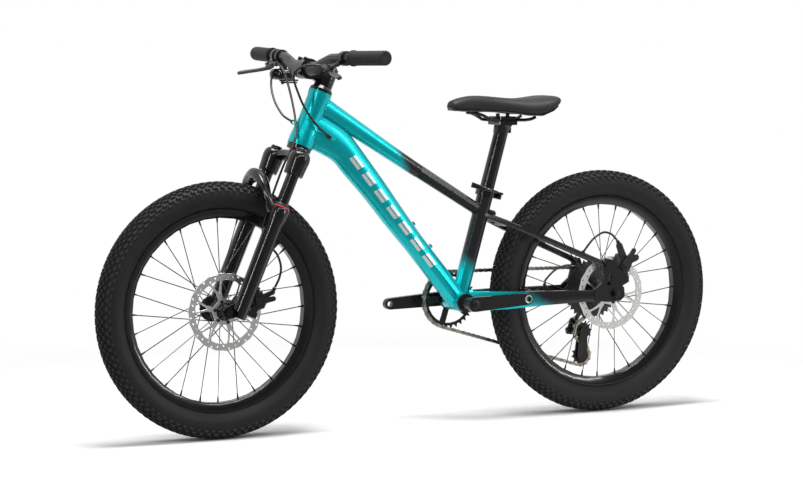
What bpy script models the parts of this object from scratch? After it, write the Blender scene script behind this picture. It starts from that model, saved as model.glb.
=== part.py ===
"""Kids' mountain bike on twenty-inch wheels, front suspension, disc brakes and one chainring.

Metres. +X points forward, +Y to the rider's left and +Z up. The origin lies on the ground,
midway between the two axles. Fork and cockpit are modelled in the steering frame, whose Z is
the steering axis, and the saddle in the seat tube's frame.
"""
import math

import bmesh
import bpy
from mathutils import Matrix, Vector

# Stance
WHEELBASE = 0.904
TYRE_RADIUS = 0.265
TYRE_WIDTH = 0.061
HEAD_ANGLE = 66.7
FORK_RAKE = 0.038
SEAT_ANGLE = 74.0
BRACKET_BACK = 0.104
BRACKET_HEIGHT = 0.257
TOUCH = 0.0003

# Frame tubes
HEAD_LOW = 0.378
HEAD_TOP = 0.498
HEAD_TUBE_RADIUS = 0.0235
HEAD_TUBE_FLARE = 0.0040
HEAD_BORE_RADIUS = 0.0205
SEAT_TUBE_LENGTH = 0.2435
SEAT_TUBE_WALL = 0.0019
DOWN_TUBE_RADIUS = 0.0230
TOP_TUBE_RADIUS_FRONT = 0.0160
TOP_TUBE_RADIUS_REAR = 0.0128
CHAIN_STAY_WIDTH = 0.0150
CHAIN_STAY_HEIGHT_FRONT = 0.046
CHAIN_STAY_HEIGHT_REAR = 0.026
SEAT_STAY_RADIUS = 0.0068
SHELL_WIDTH = 0.068
SHELL_RADIUS = 0.0205
SHELL_BORE_RADIUS = 0.0170
REAR_SPACING = 0.135
DROPOUT_THICKNESS = 0.006
HANGER_BACK = 0.009
HANGER_DROP = 0.029

# Fork
LEG_SPREAD = 0.064
LEG_OFFSET = 0.019
STEERER_RADIUS = 0.0143
STANCHION_RADIUS = 0.0127
STANCHION_FOOT = 0.100
CROWN_LOW = 0.309
CROWN_HIGH = 0.3580
CROWN_SEAT = 0.3655
CROWN_SLEEVE_RADIUS = 0.0205
SEAL_HEIGHT = 0.238
LOWER_RADIUS = 0.0172
FRONT_SPACING = 0.100
FORK_DROPOUT = 0.007
ARCH_RISE = 0.288
ARCH_REACH = 0.0665

# Cockpit
STEM_REACH = 0.050
STEM_RISE = 0.032
BAR_CLAMP_RADIUS = 0.0159
BAR_GRIP_RADIUS = 0.0111
BAR_HALF_WIDTH = 0.316
BAR_RISE = 0.0265
BAR_SWEEP = 0.0275
GRIP_LENGTH = 0.120
GRIP_RADIUS = 0.0150
LEVER_GAP = 0.030
SHIFTER_GAP = 0.026
CONTROL_RING_RADIUS = 0.0152

# Seat
POST_RADIUS = 0.01545
POST_HEAD = 0.382
POST_FOOT = 0.125
RAIL_RADIUS = 0.0035
RAIL_SPREAD = 0.022
SADDLE_NOSE = -0.083
SADDLE_TAIL = -0.326
SADDLE_WIDTH = 0.134
SADDLE_TOP = 0.695

# Wheels
RIM_BED_RADIUS = 0.190
RIM_RADIUS = 0.2090
RIM_WIDTH = 0.0296
WHEEL_SEGMENTS = 36
KNOB_HEIGHT = 0.0032
SPOKE_RADIUS = 0.0010
SPOKES = 28
ROTOR_RADIUS = 0.080
ROTOR_THICKNESS = 0.0018
FRONT_ROTOR_Y = 0.0345
REAR_ROTOR_Y = 0.0522

# Drivetrain
PITCH = 0.0127
CHAINRING_TEETH = 30
CHAINRING_Y = -0.0430
CASSETTE_TEETH = (32, 28, 24, 21, 18, 15, 13, 11)
CASSETTE_FIRST_Y = -0.0300
CASSETTE_STEP = 0.0048
GEAR_INDEX = 2
PULLEY_TEETH = 11
SPROCKET_THICKNESS = 0.0018
PLATE_HEIGHT = 0.0080
INNER_PLATE_Y = 0.0013
CRANK_LENGTH = 0.130
CRANK_REST_ANGLE = 2.7
CRANK_INNER_Y = 0.0650
CRANK_THICKNESS = 0.0125
SPINDLE_RADIUS = 0.0085
GUIDE_PULLEY = (0.015, -0.093)
CAGE_LENGTH = 0.053
CAGE_ANGLE = -84.0

# Brake and shift cables
CABLE_RADIUS = 0.0024
STOP_LENGTH = 0.016
STOP_RADIUS = 0.0042
PORT_RADIUS = 0.0042
PORT_LENGTH = 0.013
ROUTES_DRAWN_AT = 0.498
"""The head tube's top for which the front routes below were drawn."""

# Routes chosen by hand; the last point of each lies at its port or stop
REAR_BRAKE_CABLE = ((0.0775, 0.0940, 0.5290), (0.0941, 0.0780, 0.5170), (0.0953, 0.0600, 0.4958),
                    (0.0639, 0.0450, 0.4685), (0.0308, 0.0370, 0.4452), (-0.0096, 0.0330, 0.4255),
                    (-0.0445, 0.0270, 0.4177))
SHIFT_CABLE = ((0.0576, -0.1330, 0.5082), (0.0630, -0.1180, 0.4955), (0.0642, -0.0960, 0.4754),
               (0.0596, -0.0720, 0.4534), (0.0525, -0.0500, 0.4369), (0.0442, -0.0300, 0.4252),
               (0.0277, -0.0150, 0.4198))
FRONT_BRAKE_CABLE = ((0.0590, -0.0890, 0.5220), (0.0470, -0.0650, 0.4950), (0.0360, -0.0350, 0.4600),
                     (0.0295, -0.0010, 0.4230), (0.0290, 0.0280, 0.3880), (0.0332, 0.0400, 0.3532),
                     (0.0375, 0.0435, 0.3232), (0.0370, 0.0440, 0.2684), (0.0345, 0.0442, 0.2213),
                     (0.0290, 0.0430, 0.1850), (0.0180, 0.0415, 0.1690), (0.0030, 0.0420, 0.1600),
                     (-0.0200, 0.0450, 0.1490), (-0.0370, 0.0470, 0.1290), (-0.0430, 0.0465, 0.1070),
                     (-0.0415, 0.0465, 0.0850))
"""These three lie in the steerer's axes."""
REAR_BRAKE_TAIL = ((0.0720, 0.0600, 0.0940), (0.0650, 0.0605, 0.1030), (0.0490, 0.0610, 0.1200),
                   (0.0260, 0.0610, 0.1325), (0.0070, 0.0630, 0.1295), (-0.0060, 0.0642, 0.1175),
                   (-0.0090, 0.0642, 0.1135))
SHIFT_TAIL = ((0.0943, -0.0707, 0.0115), (0.0883, -0.0767, 0.0205), (0.0570, -0.0860, 0.0410),
              (0.0170, -0.0930, 0.0480), (-0.0260, -0.0930, 0.0300), (-0.0510, -0.0900, -0.0050),
              (-0.0490, -0.0860, -0.0350), (-0.0340, -0.0830, -0.0530))
"""These two are measured from the rear axle."""

# Disc brakes, measured round the axle
FRONT_CALIPER_ANGLE = 40.0
REAR_CALIPER_ANGLE = 66.0
CALIPER_INSIDE = 0.0120

# Seat clamp and saddle
CLAMP_BOLT_X = -0.0255
CLAMP_PIN_Y = 0.0175

SADDLE_STATIONS = (
    (SADDLE_NOSE, 0.0100, 0.6690, 0.6780), (-0.0860, 0.0170, 0.6660, 0.6850),
    (-0.1050, 0.0195, 0.6640, 0.6915),
    (-0.1300, 0.0205, 0.6630, 0.6955), (-0.1600, 0.0235, 0.6625, 0.6955), (-0.1900, 0.0300, 0.6610, 0.6930),
    (-0.2200, 0.0410, 0.6580, 0.6905), (-0.2480, 0.0540, 0.6540, 0.6895), (-0.2750, 0.0640, 0.6535, 0.6905),
    (-0.3000, SADDLE_WIDTH / 2, 0.6640, 0.6935), (-0.3150, 0.0590, 0.6725, 0.6930),
    (SADDLE_TAIL, 0.0400, 0.6780, 0.6880))
"""Distance along, half width, height of the lower edge and height of the top of the saddle."""

# Worked out from the sizes above
STEM_HEIGHT = HEAD_TOP + STEM_RISE
LEVER_CLAMP_Y = BAR_HALF_WIDTH - GRIP_LENGTH - LEVER_GAP
SHIFTER_CLAMP_Y = LEVER_CLAMP_Y - SHIFTER_GAP
CHAIN_STAY_REACH = WHEELBASE / 2 - BRACKET_BACK
FRONT_AXLE = Vector((WHEELBASE / 2, 0, TYRE_RADIUS))
REAR_AXLE = Vector((-WHEELBASE / 2, 0, TYRE_RADIUS))
BRACKET = Vector((-BRACKET_BACK, 0, BRACKET_HEIGHT))
LEAN = math.radians(90 - HEAD_ANGLE)
STEER = (Matrix.Translation(FRONT_AXLE) @ Matrix.Rotation(-LEAN, 4, "Y")
         @ Matrix.Translation((-FORK_RAKE, 0, 0)))
SEAT = Matrix.Translation(BRACKET) @ Matrix.Rotation(-math.radians(90 - SEAT_ANGLE), 4, "Y")
SEAT_BORE_RADIUS = POST_RADIUS + TOUCH
SEAT_TUBE_RADIUS = SEAT_BORE_RADIUS + SEAT_TUBE_WALL
ACROSS = Matrix.Rotation(-math.pi / 2, 4, "X")
SIDEWAYS = Matrix.Rotation(math.pi / 2, 4, "X")
DROPOUT_Y = REAR_SPACING / 2
SEAT_STAY_TOP = SEAT @ Vector((-0.004, 0.010, SEAT_TUBE_LENGTH - 0.0505))
SEAT_STAY_FOOT = Vector((REAR_AXLE.x + 0.016, DROPOUT_Y - 0.0035, REAR_AXLE.z + 0.060))

# Derailleur pivots, handlebar and controls
LINK_UPPER = REAR_AXLE + Vector((-0.0080, -0.0830, -0.0470))
LINK_LOWER = REAR_AXLE + Vector((0.0220, -0.0640, -0.0770))
LINK_AXIS = Vector((0.0300, 0, 0.0300)).normalized()
"""Where the derailleur's link turns, and the direction of both its pivots."""

BAR_ROUTE = ((0.0, 0.0, 0.0), (0.0, 0.030, 0.0), (-0.0010, 0.055, 0.0020), (-0.0030, 0.085, 0.0135),
             (-0.0060, 0.115, 0.0220), (-0.0090, LEVER_CLAMP_Y - 0.016, 0.0232),
             (-0.0135, BAR_HALF_WIDTH - 0.121, 0.0244), (-0.0272, BAR_HALF_WIDTH - 0.005, BAR_RISE))
BAR_RADII = (1.0, 1.0, 0.85, 0.72, 0.70, 0.70, 0.70, 0.70)
"""Half of the handlebar's centreline in level axes from the clamp, and its radius factors."""

LEVEL = Matrix.Translation((STEM_REACH, 0, STEM_HEIGHT)) @ Matrix.Rotation(LEAN, 4, "Y")
LEVER_DROP = math.radians(25)
LEVER_PIVOT = Vector((0.0146, LEVER_CLAMP_Y - 0.016, -0.0006))
BARREL_END = -0.036
BARREL_FORWARD = -0.004
BARREL_DOWN = -0.0068
LEVER_AXES = (Vector((0, 1, 0)), Vector((math.cos(LEVER_DROP), 0, -math.sin(LEVER_DROP))),
              Vector((-math.sin(LEVER_DROP), 0, -math.cos(LEVER_DROP))))
"""Level axes of the cockpit, and the brake lever's plane: outward, forward and down."""
SHIFTER_CENTRE = Vector((-0.0150, -SHIFTER_CLAMP_Y - 0.010, -0.0155))


PARTS = None
CUTTERS = None
"""Collections that hold the finished pieces and the cutters."""


def start_scene():
    """Empty the scene and make the two collections."""
    global PARTS, CUTTERS
    for old in list(bpy.data.objects):
        bpy.data.objects.remove(old, do_unlink=True)
    PARTS = bpy.data.collections.new("kids_mountain_bike")
    CUTTERS = bpy.data.collections.new("cutters")
    bpy.context.scene.collection.children.link(PARTS)
    bpy.context.scene.collection.children.link(CUTTERS)


def mesh_piece(bm, name="piece"):
    """Turn a bmesh into an object in the cutter collection, where work in progress lies."""
    bmesh.ops.remove_doubles(bm, verts=bm.verts[:], dist=1e-6)
    bmesh.ops.recalc_face_normals(bm, faces=bm.faces[:])
    mesh = bpy.data.meshes.new(name)
    bm.to_mesh(mesh)
    bm.free()
    piece = bpy.data.objects.new(name, mesh)
    piece.hide_render = True
    piece.display_type = "WIRE"
    CUTTERS.objects.link(piece)
    return piece


def settled(piece, matrix=None):
    """Apply what shapes an object, weld its seams and place it by a matrix."""
    graph = bpy.context.evaluated_depsgraph_get()
    mesh = bpy.data.meshes.new_from_object(piece.evaluated_get(graph), depsgraph=graph)
    bm = bmesh.new()
    bm.from_mesh(mesh)
    if matrix is not None:
        bm.transform(matrix)
    bpy.data.meshes.remove(mesh)
    bpy.data.objects.remove(piece, do_unlink=True)
    return mesh_piece(bm)


def moved(piece, matrix):
    """Place a piece by a matrix, in its mesh."""
    piece.data.transform(matrix)
    return piece


def copied(piece, matrix):
    """Return a second piece, placed by a matrix."""
    bm = bmesh.new()
    bm.from_mesh(piece.data)
    bm.transform(matrix)
    return mesh_piece(bm)


def mirrored(piece):
    """Return the piece's image on the other side of the bike."""
    return copied(piece, Matrix.Scale(-1, 4, (0, 1, 0)))


def flipped(piece):
    """Move the piece to the other side of the bike."""
    other = mirrored(piece)
    bpy.data.objects.remove(piece, do_unlink=True)
    return other


def joined(base, tools, operation="UNION"):
    """Union the tools with the base, or cut them from it."""
    for tool in tools:
        step = base.modifiers.new(operation.lower(), "BOOLEAN")
        step.operation = operation
        step.solver = "EXACT"
        step.object = tool
    result = settled(base)
    for tool in tools:
        bpy.data.objects.remove(tool, do_unlink=True)
    return simplified(result)


def simplified(piece):
    """Merge the faces of a flat area, and drop the points left along straight edges."""
    for limit in (0.3, 0.1, 0.02):
        bm = bmesh.new()
        bm.from_mesh(piece.data)
        bmesh.ops.dissolve_limit(bm, angle_limit=math.radians(limit), verts=bm.verts[:], edges=bm.edges[:])
        bmesh.ops.triangulate(bm, faces=[face for face in bm.faces if len(face.verts) > 4])
        whole = all(len(set(edge.link_faces)) == 2 for edge in bm.edges)
        whole = whole and all(len(set(face.verts)) == len(face.verts) for face in bm.faces)
        if whole:
            bm.to_mesh(piece.data)
        bm.free()
        if whole:
            break
    return piece


def cut(base, *tools):
    """Cut the tools from the base."""
    return joined(base, tools, "DIFFERENCE")


def fuse(base, *tools):
    """Union the tools with the base."""
    return joined(base, tools, "UNION")


def aim(start, end):
    """Return a matrix whose Z runs from start to end, with its origin halfway."""
    start, end = Vector(start), Vector(end)
    turn = Vector((0, 0, 1)).rotation_difference(end - start).to_matrix().to_4x4()
    return Matrix.Translation((start + end) / 2) @ turn


def rod(start, end, radius, radius_end=None, sides=16):
    """Make a straight round bar between two points."""
    bm = bmesh.new()
    far = radius if radius_end is None else radius_end
    length = (Vector(end) - Vector(start)).length
    bmesh.ops.create_cone(bm, cap_ends=True, segments=sides, radius1=radius, radius2=far, depth=length)
    bm.transform(aim(start, end))
    return mesh_piece(bm)


def box(size, centre=(0, 0, 0), matrix=None, bevel=0.0, segments=1):
    """Make a block, with its edges rounded if bevel is given."""
    bm = bmesh.new()
    bmesh.ops.create_cube(bm, size=1.0)
    bm.transform(Matrix.Translation(centre) @ Matrix.Diagonal((*size, 1)))
    if bevel:
        bmesh.ops.bevel(bm, geom=bm.edges[:], offset=bevel, segments=segments, affect="EDGES")
    if matrix is not None:
        bm.transform(matrix)
    return mesh_piece(bm)


def turned(profile, matrix=None, steps=24, ring=False):
    """Turn a profile of (radius, height) points about Z; a ring's profile is a closed loop."""
    mesh = bpy.data.meshes.new("profile")
    count = len(profile)
    edges = [(i, i + 1) for i in range(count - 1)]
    if ring:
        edges.append((count - 1, 0))
    mesh.from_pydata([(r, 0, z) for r, z in profile], edges, [])
    piece = bpy.data.objects.new("profile", mesh)
    CUTTERS.objects.link(piece)
    screw = piece.modifiers.new("turn", "SCREW")
    screw.steps = steps
    screw.render_steps = steps
    screw.use_merge_vertices = True
    screw.merge_threshold = 0.00001
    return settled(piece, matrix)


def smooth_route(points, steps=4):
    """Return points along a smooth curve through the given ones."""
    points = [Vector(p) for p in points]
    ends = [2 * points[0] - points[1]] + points + [2 * points[-1] - points[-2]]
    route = []
    for a, b, c, d in zip(ends, ends[1:], ends[2:], ends[3:]):
        for step in range(steps):
            t = step / steps
            route.append(0.5 * (2 * b + (c - a) * t + (2 * a - 5 * b + 4 * c - d) * t * t
                                + (3 * b - a - 3 * c + d) * t ** 3))
    return route + [points[-1]]


def tube(points, radius, radii=None, resolution=2, closed=False):
    """Make a tube along points; radii are factors of the radius at each point."""
    curve = bpy.data.curves.new("route", "CURVE")
    curve.dimensions = "3D"
    curve.bevel_depth = radius
    curve.bevel_resolution = resolution
    curve.use_fill_caps = not closed
    spline = curve.splines.new("POLY")
    spline.points.add(len(points) - 1)
    spline.use_cyclic_u = closed
    for index, point in enumerate(points):
        spline.points[index].co = (*point, 1)
        spline.points[index].radius = 1.0 if radii is None else radii[index]
    piece = bpy.data.objects.new("route", curve)
    CUTTERS.objects.link(piece)
    return settled(piece)


def plate(outlines, thickness, matrix=None):
    """Extrude flat outlines, the first the edge and the rest its holes, centred on their plane."""
    curve = bpy.data.curves.new("outline", "CURVE")
    curve.dimensions = "2D"
    curve.fill_mode = "BOTH"
    curve.extrude = thickness / 2
    for outline in outlines:
        spline = curve.splines.new("POLY")
        spline.points.add(len(outline) - 1)
        spline.use_cyclic_u = True
        for index, (u, v) in enumerate(outline):
            spline.points[index].co = (u, v, 0, 1)
    piece = bpy.data.objects.new("outline", curve)
    CUTTERS.objects.link(piece)
    return settled(piece, matrix)


def side_plate(outlines, thickness, y):
    """Extrude outlines drawn in X and Z, centred on the plane at y."""
    return plate(outlines, thickness, Matrix.Translation((0, y, 0)) @ SIDEWAYS)


def arc(centre, radius, start, end, count):
    """Return points along an arc, angles in degrees."""
    angles = [math.radians(start + (end - start) * i / (count - 1)) for i in range(count)]
    return [(centre[0] + radius * math.cos(a), centre[1] + radius * math.sin(a)) for a in angles]


def circle(centre, radius, count):
    """Return points round a circle."""
    return arc(centre, radius, 0, 360 * (count - 1) / count, count)


def bar_outline(start, end, start_radius, end_radius, count=7):
    """Return the outline of a bar with round ends of two radii."""
    along = math.degrees(math.atan2(end[1] - start[1], end[0] - start[0]))
    length = math.hypot(end[0] - start[0], end[1] - start[1])
    slope = math.degrees(math.asin((start_radius - end_radius) / length))
    return (arc(end, end_radius, along - 90 + slope, along + 90 - slope, count)
            + arc(start, start_radius, along + 90 - slope, along + 270 + slope, count))


def loft(rings):
    """Skin closed rings of equal point count and cap both ends."""
    bm = bmesh.new()
    rows = [[bm.verts.new(point) for point in ring] for ring in rings]
    count = len(rows[0])
    for row, after in zip(rows, rows[1:]):
        for i in range(count):
            j = (i + 1) % count
            bm.faces.new((row[i], row[j], after[j], after[i]))
    bm.faces.new(rows[0])
    bm.faces.new(rows[-1][::-1])
    return mesh_piece(bm)


def material(name, colour, roughness, metallic):
    """Make a plain Principled material."""
    paint = bpy.data.materials.new(name)
    paint.use_nodes = True
    shader = paint.node_tree.nodes["Principled BSDF"]
    shader.inputs["Base Color"].default_value = (*colour, 1)
    shader.inputs["Roughness"].default_value = roughness
    shader.inputs["Metallic"].default_value = metallic
    return paint


FINISHES = {
    "paint": ((0.0, 0.42, 0.44), 0.30, 0.5),
    "black": ((0.02, 0.02, 0.022), 0.35, 0.3),
    "satin": ((0.035, 0.035, 0.038), 0.45, 0.4),
    "steel": ((0.62, 0.61, 0.58), 0.30, 1.0),
    "chain": ((0.45, 0.40, 0.33), 0.35, 1.0),
    "rubber": ((0.025, 0.025, 0.026), 0.80, 0.0),
    "cable": ((0.02, 0.02, 0.02), 0.50, 0.0),
    "saddle": ((0.03, 0.03, 0.032), 0.65, 0.0),
    "plastic": ((0.02, 0.02, 0.02), 0.50, 0.0),
}
"""Colour, roughness and metallic value of each finish."""


def finish(piece, name, look, carrier):
    """Name a finished piece, shade it and hang it on its carrier."""
    mesh = piece.data
    mesh.name = name
    mesh.materials.clear()
    mesh.materials.append(material(name, *FINISHES[look]))
    mesh.shade_smooth()
    mesh.set_sharp_from_angle(angle=math.radians(35))
    part = bpy.data.objects.new(name, mesh)
    PARTS.objects.link(part)
    part.parent = carrier
    bpy.data.objects.remove(piece, do_unlink=True)
    return part


def carrier(name, matrix, parent=None):
    """Make an empty that carries pieces; matrix is relative to the parent."""
    empty = bpy.data.objects.new(name, None)
    empty.empty_display_size = 0.03
    PARTS.objects.link(empty)
    empty.parent = parent
    empty.matrix_local = matrix
    return empty


def locate(point):
    """Return a matrix that only moves to a point."""
    return Matrix.Translation(point)


def hung(route):
    """Return a front cable's route with its upper part moved along with the head tube's top."""
    last = len(route) - 1
    rise = HEAD_TOP - ROUTES_DRAWN_AT
    return [Vector(p) + Vector((0, 0, rise * (1 - n / last))) for n, p in enumerate(route)]


def from_axle(route):
    """Return a rear cable's route in the bike's axes."""
    return [REAR_AXLE + Vector(p) for p in route]


def port(route, length=PORT_LENGTH):
    """Make the round boss that a cable's last stretch runs into."""
    last, before = Vector(route[-1]), Vector(route[-2])
    along = (last - before).normalized()
    return rod(last + along * 3 * TOUCH, last + along * length, PORT_RADIUS, sides=8)


def chain_stay():
    """Loft the left chain stay from the bracket shell to the dropout."""
    stations = (
        # share of the reach, distance from the centre plane, share of the taper
        (0.034, 0.0220, 0.00), (0.115, 0.0240, 0.10), (0.184, 0.0275, 0.20), (0.276, 0.0400, 0.34),
        (0.374, 0.0455, 0.48), (0.546, 0.0505, 0.70), (0.753, 0.0610, 0.92), (0.874, 0.0668, 1.00))
    rings = []
    for reach, y, share in stations:
        high = CHAIN_STAY_HEIGHT_FRONT + share * (CHAIN_STAY_HEIGHT_REAR - CHAIN_STAY_HEIGHT_FRONT)
        wide = CHAIN_STAY_WIDTH * (1 - 0.20 * share)
        middle = BRACKET_HEIGHT + share * (TYRE_RADIUS - BRACKET_HEIGHT) * 0.6
        ring = []
        for step in range(8):
            turn = 2 * math.pi * (step + 0.5) / 8
            across = math.copysign(abs(math.cos(turn)) ** 0.6, math.cos(turn)) * wide / 2
            upright = math.copysign(abs(math.sin(turn)) ** 0.6, math.sin(turn)) * high / 2
            ring.append((BRACKET.x - CHAIN_STAY_REACH * reach, y + across, middle + upright))
        rings.append(ring)
    return loft(rings)


def seat_stay():
    """Bend the left seat stay from the seat tube out round the tyre and down to the dropout."""
    top, foot = SEAT_STAY_TOP, SEAT_STAY_FOOT
    route = [top]
    for share, y in ((0.14, 0.034), (0.26, 0.0450), (0.50, 0.0510), (0.76, 0.0590)):
        point = top.lerp(foot, share)
        point.y = y
        route.append(point)
    route.append(foot)
    return tube(route, SEAT_STAY_RADIUS, resolution=2)


def dropout(side):
    """Cut the plate that holds the rear axle; the right one carries the derailleur hanger."""
    x, z = REAR_AXLE.x, REAR_AXLE.z
    middle = DROPOUT_Y + DROPOUT_THICKNESS / 2
    edge = [(x + 0.052, z - 0.014), (x + 0.052, z + 0.010), (x + 0.034, z + 0.024), (x + 0.026, z + 0.058),
            (x + 0.018, z + 0.068), (x + 0.006, z + 0.066), (x + 0.000, z + 0.050), (x - 0.010, z + 0.024),
            (x - 0.022, z + 0.012), (x - 0.024, z - 0.006), (x - 0.014, z - 0.016)]
    if side < 0:
        hanger = (x - HANGER_BACK, z - HANGER_DROP)
        edge += arc(hanger, 0.0105, 200, 350, 6)
        edge += [(x + 0.016, z - 0.018)]
    else:
        edge += [(x + 0.014, z - 0.018)]
    windows = [[(x + 0.010, z + 0.018), (x + 0.022, z + 0.018), (x + 0.016, z + 0.044),
                (x + 0.009, z + 0.044)]]
    return side_plate([edge] + windows, DROPOUT_THICKNESS, side * middle)


def build_frame():
    """Weld the frame: tubes, bracket shell, stays, dropouts, bosses and cable ports."""
    flare = HEAD_TUBE_RADIUS + HEAD_TUBE_FLARE
    collar = HEAD_TUBE_RADIUS + 0.0012
    head = turned([(0, HEAD_TOP), (collar, HEAD_TOP), (collar, HEAD_TOP - 0.010),
                   (HEAD_TUBE_RADIUS, HEAD_TOP - 0.015), (HEAD_TUBE_RADIUS, HEAD_LOW + 0.055),
                   (flare, HEAD_LOW + 0.018), (flare, HEAD_LOW), (0, HEAD_LOW)], STEER, 18)
    head_axis = STEER @ Vector((0.004, 0, HEAD_TOP - 0.026))
    seat_joint = SEAT @ Vector((0.004, 0, SEAT_TUBE_LENGTH - 0.0445))
    swell = TOP_TUBE_RADIUS_REAR / TOP_TUBE_RADIUS_FRONT
    top = tube([head_axis, head_axis.lerp(seat_joint, 0.12), head_axis.lerp(seat_joint, 0.5), seat_joint],
               TOP_TUBE_RADIUS_FRONT, [1.12, 1.0, (1 + swell) / 2, swell], resolution=3)
    down_start = STEER @ Vector((0.003, 0, HEAD_LOW + 0.030))
    bend = [down_start + Vector(step) for step in
            ((0, 0, 0), (-0.030, 0, -0.004), (-0.056, 0, -0.014), (-0.082, 0, -0.033), (-0.104, 0, -0.058))]
    down = tube(smooth_route(bend, 2) + [BRACKET + Vector((0.003, 0, 0.004))], DOWN_TUBE_RADIUS, resolution=4)
    seat = turned([(0, SEAT_TUBE_LENGTH), (SEAT_TUBE_RADIUS, SEAT_TUBE_LENGTH), (SEAT_TUBE_RADIUS, 0),
                   (0, 0)], SEAT, 16)
    shell = rod(BRACKET + Vector((0, -SHELL_WIDTH / 2, 0)), BRACKET + Vector((0, SHELL_WIDTH / 2, 0)),
                SHELL_RADIUS, sides=20)
    left_chain_stay, left_seat_stay = chain_stay(), seat_stay()
    right_chain_stay, right_seat_stay = mirrored(left_chain_stay), mirrored(left_seat_stay)
    bridge_at = SEAT_STAY_TOP.lerp(SEAT_STAY_FOOT, 0.185) + Vector((0, 0, 0.0012))
    bridge_at.y = 0
    bridge = rod(bridge_at + Vector((0, -0.041, 0)), bridge_at + Vector((0, 0.041, 0)), 0.006, sides=8)
    gusset = box((0.030, 0.016, 0.024), (-0.020, 0, SEAT_TUBE_LENGTH - 0.0475), SEAT, 0.004)
    bosses = []
    along = (down_start + Vector(bend[-1] - down_start) - BRACKET).normalized()
    upward = Vector((-along.z, 0, along.x))
    for distance in (0.200, 0.136):
        foot = BRACKET + along * distance + upward * (DOWN_TUBE_RADIUS - 0.004)
        bosses.append(rod(foot, foot + upward * 0.0065, 0.0052, sides=8))
    x, z = REAR_AXLE.x, REAR_AXLE.z
    outline = [(x + 0.004, z + 0.030), (x + 0.020, z + 0.060), (x + 0.030, z + 0.068), (x + 0.024, z + 0.078),
               (x + 0.004, z + 0.072), (x - 0.008, z + 0.052), (x - 0.020, z + 0.044), (x - 0.034, z + 0.036),
               (x - 0.034, z + 0.024), (x - 0.014, z + 0.014)]
    post_mount = side_plate([outline], DROPOUT_THICKNESS, DROPOUT_Y + DROPOUT_THICKNESS / 2)
    brake_in, shift_in = [[STEER @ p for p in hung(route)] for route in (REAR_BRAKE_CABLE, SHIFT_CABLE)]
    brake_out, shift_out = from_axle(REAR_BRAKE_TAIL[::-1]), from_axle(SHIFT_TAIL[::-1])
    ports = [port(brake_in), port(shift_in, 0.012), port(brake_out, 0.010), port(shift_out, 0.016)]
    frame = fuse(head, top, down, seat, shell, left_chain_stay, right_chain_stay, left_seat_stay,
                 right_seat_stay, bridge, gusset, dropout(1), dropout(-1), post_mount, *bosses, *ports)
    head_bore = rod(STEER @ Vector((0, 0, HEAD_LOW - 0.01)), STEER @ Vector((0, 0, HEAD_TOP + 0.01)),
                    HEAD_BORE_RADIUS, sides=18)
    seat_bore = rod(SEAT @ Vector((0, 0, 0.045)), SEAT @ Vector((0, 0, SEAT_TUBE_LENGTH + 0.01)),
                    SEAT_BORE_RADIUS, sides=16)
    shell_bore = rod(BRACKET + Vector((0, -SHELL_WIDTH, 0)), BRACKET + Vector((0, SHELL_WIDTH, 0)),
                     SHELL_BORE_RADIUS, sides=16)
    slit = box((0.030, 0.0020, 0.026), (-0.018, 0, SEAT_TUBE_LENGTH - 0.012), SEAT)
    slots = []
    for side in (-1, 1):
        y = side * (DROPOUT_Y + DROPOUT_THICKNESS / 2)
        slots.append(rod((REAR_AXLE.x, y - 0.006, REAR_AXLE.z), (REAR_AXLE.x, y + 0.006, REAR_AXLE.z),
                         0.0051, sides=12))
    hanger_hole = rod((REAR_AXLE.x - HANGER_BACK, -DROPOUT_Y + 0.01, REAR_AXLE.z - HANGER_DROP),
                      (REAR_AXLE.x - HANGER_BACK, -DROPOUT_Y - 0.02, REAR_AXLE.z - HANGER_DROP), 0.0050,
                      sides=8)
    return cut(frame, head_bore, seat_bore, shell_bore, slit, hanger_hole, *slots)


def blend_ring(centre, across, upright, wide, high, count=8, power=0.7, start=0.5):
    """Return a rounded ring of points round a centre, spanned by two unit vectors."""
    ring = []
    for step in range(count):
        turn = 2 * math.pi * (step + start) / count
        side = math.copysign(abs(math.cos(turn)) ** power, math.cos(turn)) * wide / 2
        rise = math.copysign(abs(math.sin(turn)) ** power, math.sin(turn)) * high / 2
        ring.append(Vector(centre) + Vector(across) * side + Vector(upright) * rise)
    return ring


def strap(points, wide, high, normal, count=8, power=0.7):
    """Loft a rounded bar along points; wide lies in the plane across the normal, high along it."""
    points = [Vector(p) for p in points]
    rings = []
    for index, point in enumerate(points):
        before = points[max(index - 1, 0)]
        after = points[min(index + 1, len(points) - 1)]
        along = (after - before).normalized()
        upright = (Vector(normal) - along * along.dot(Vector(normal))).normalized()
        across = along.cross(upright)
        width = wide if isinstance(wide, float) else wide[index]
        height = high if isinstance(high, float) else high[index]
        rings.append(blend_ring(point, across, upright, width, height, count, power))
    return loft(rings)


def collar(inner, outer, low, high):
    """Return the closed profile of a plain ring."""
    return [(inner, low), (outer, low), (outer, high), (inner, high)]


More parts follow.
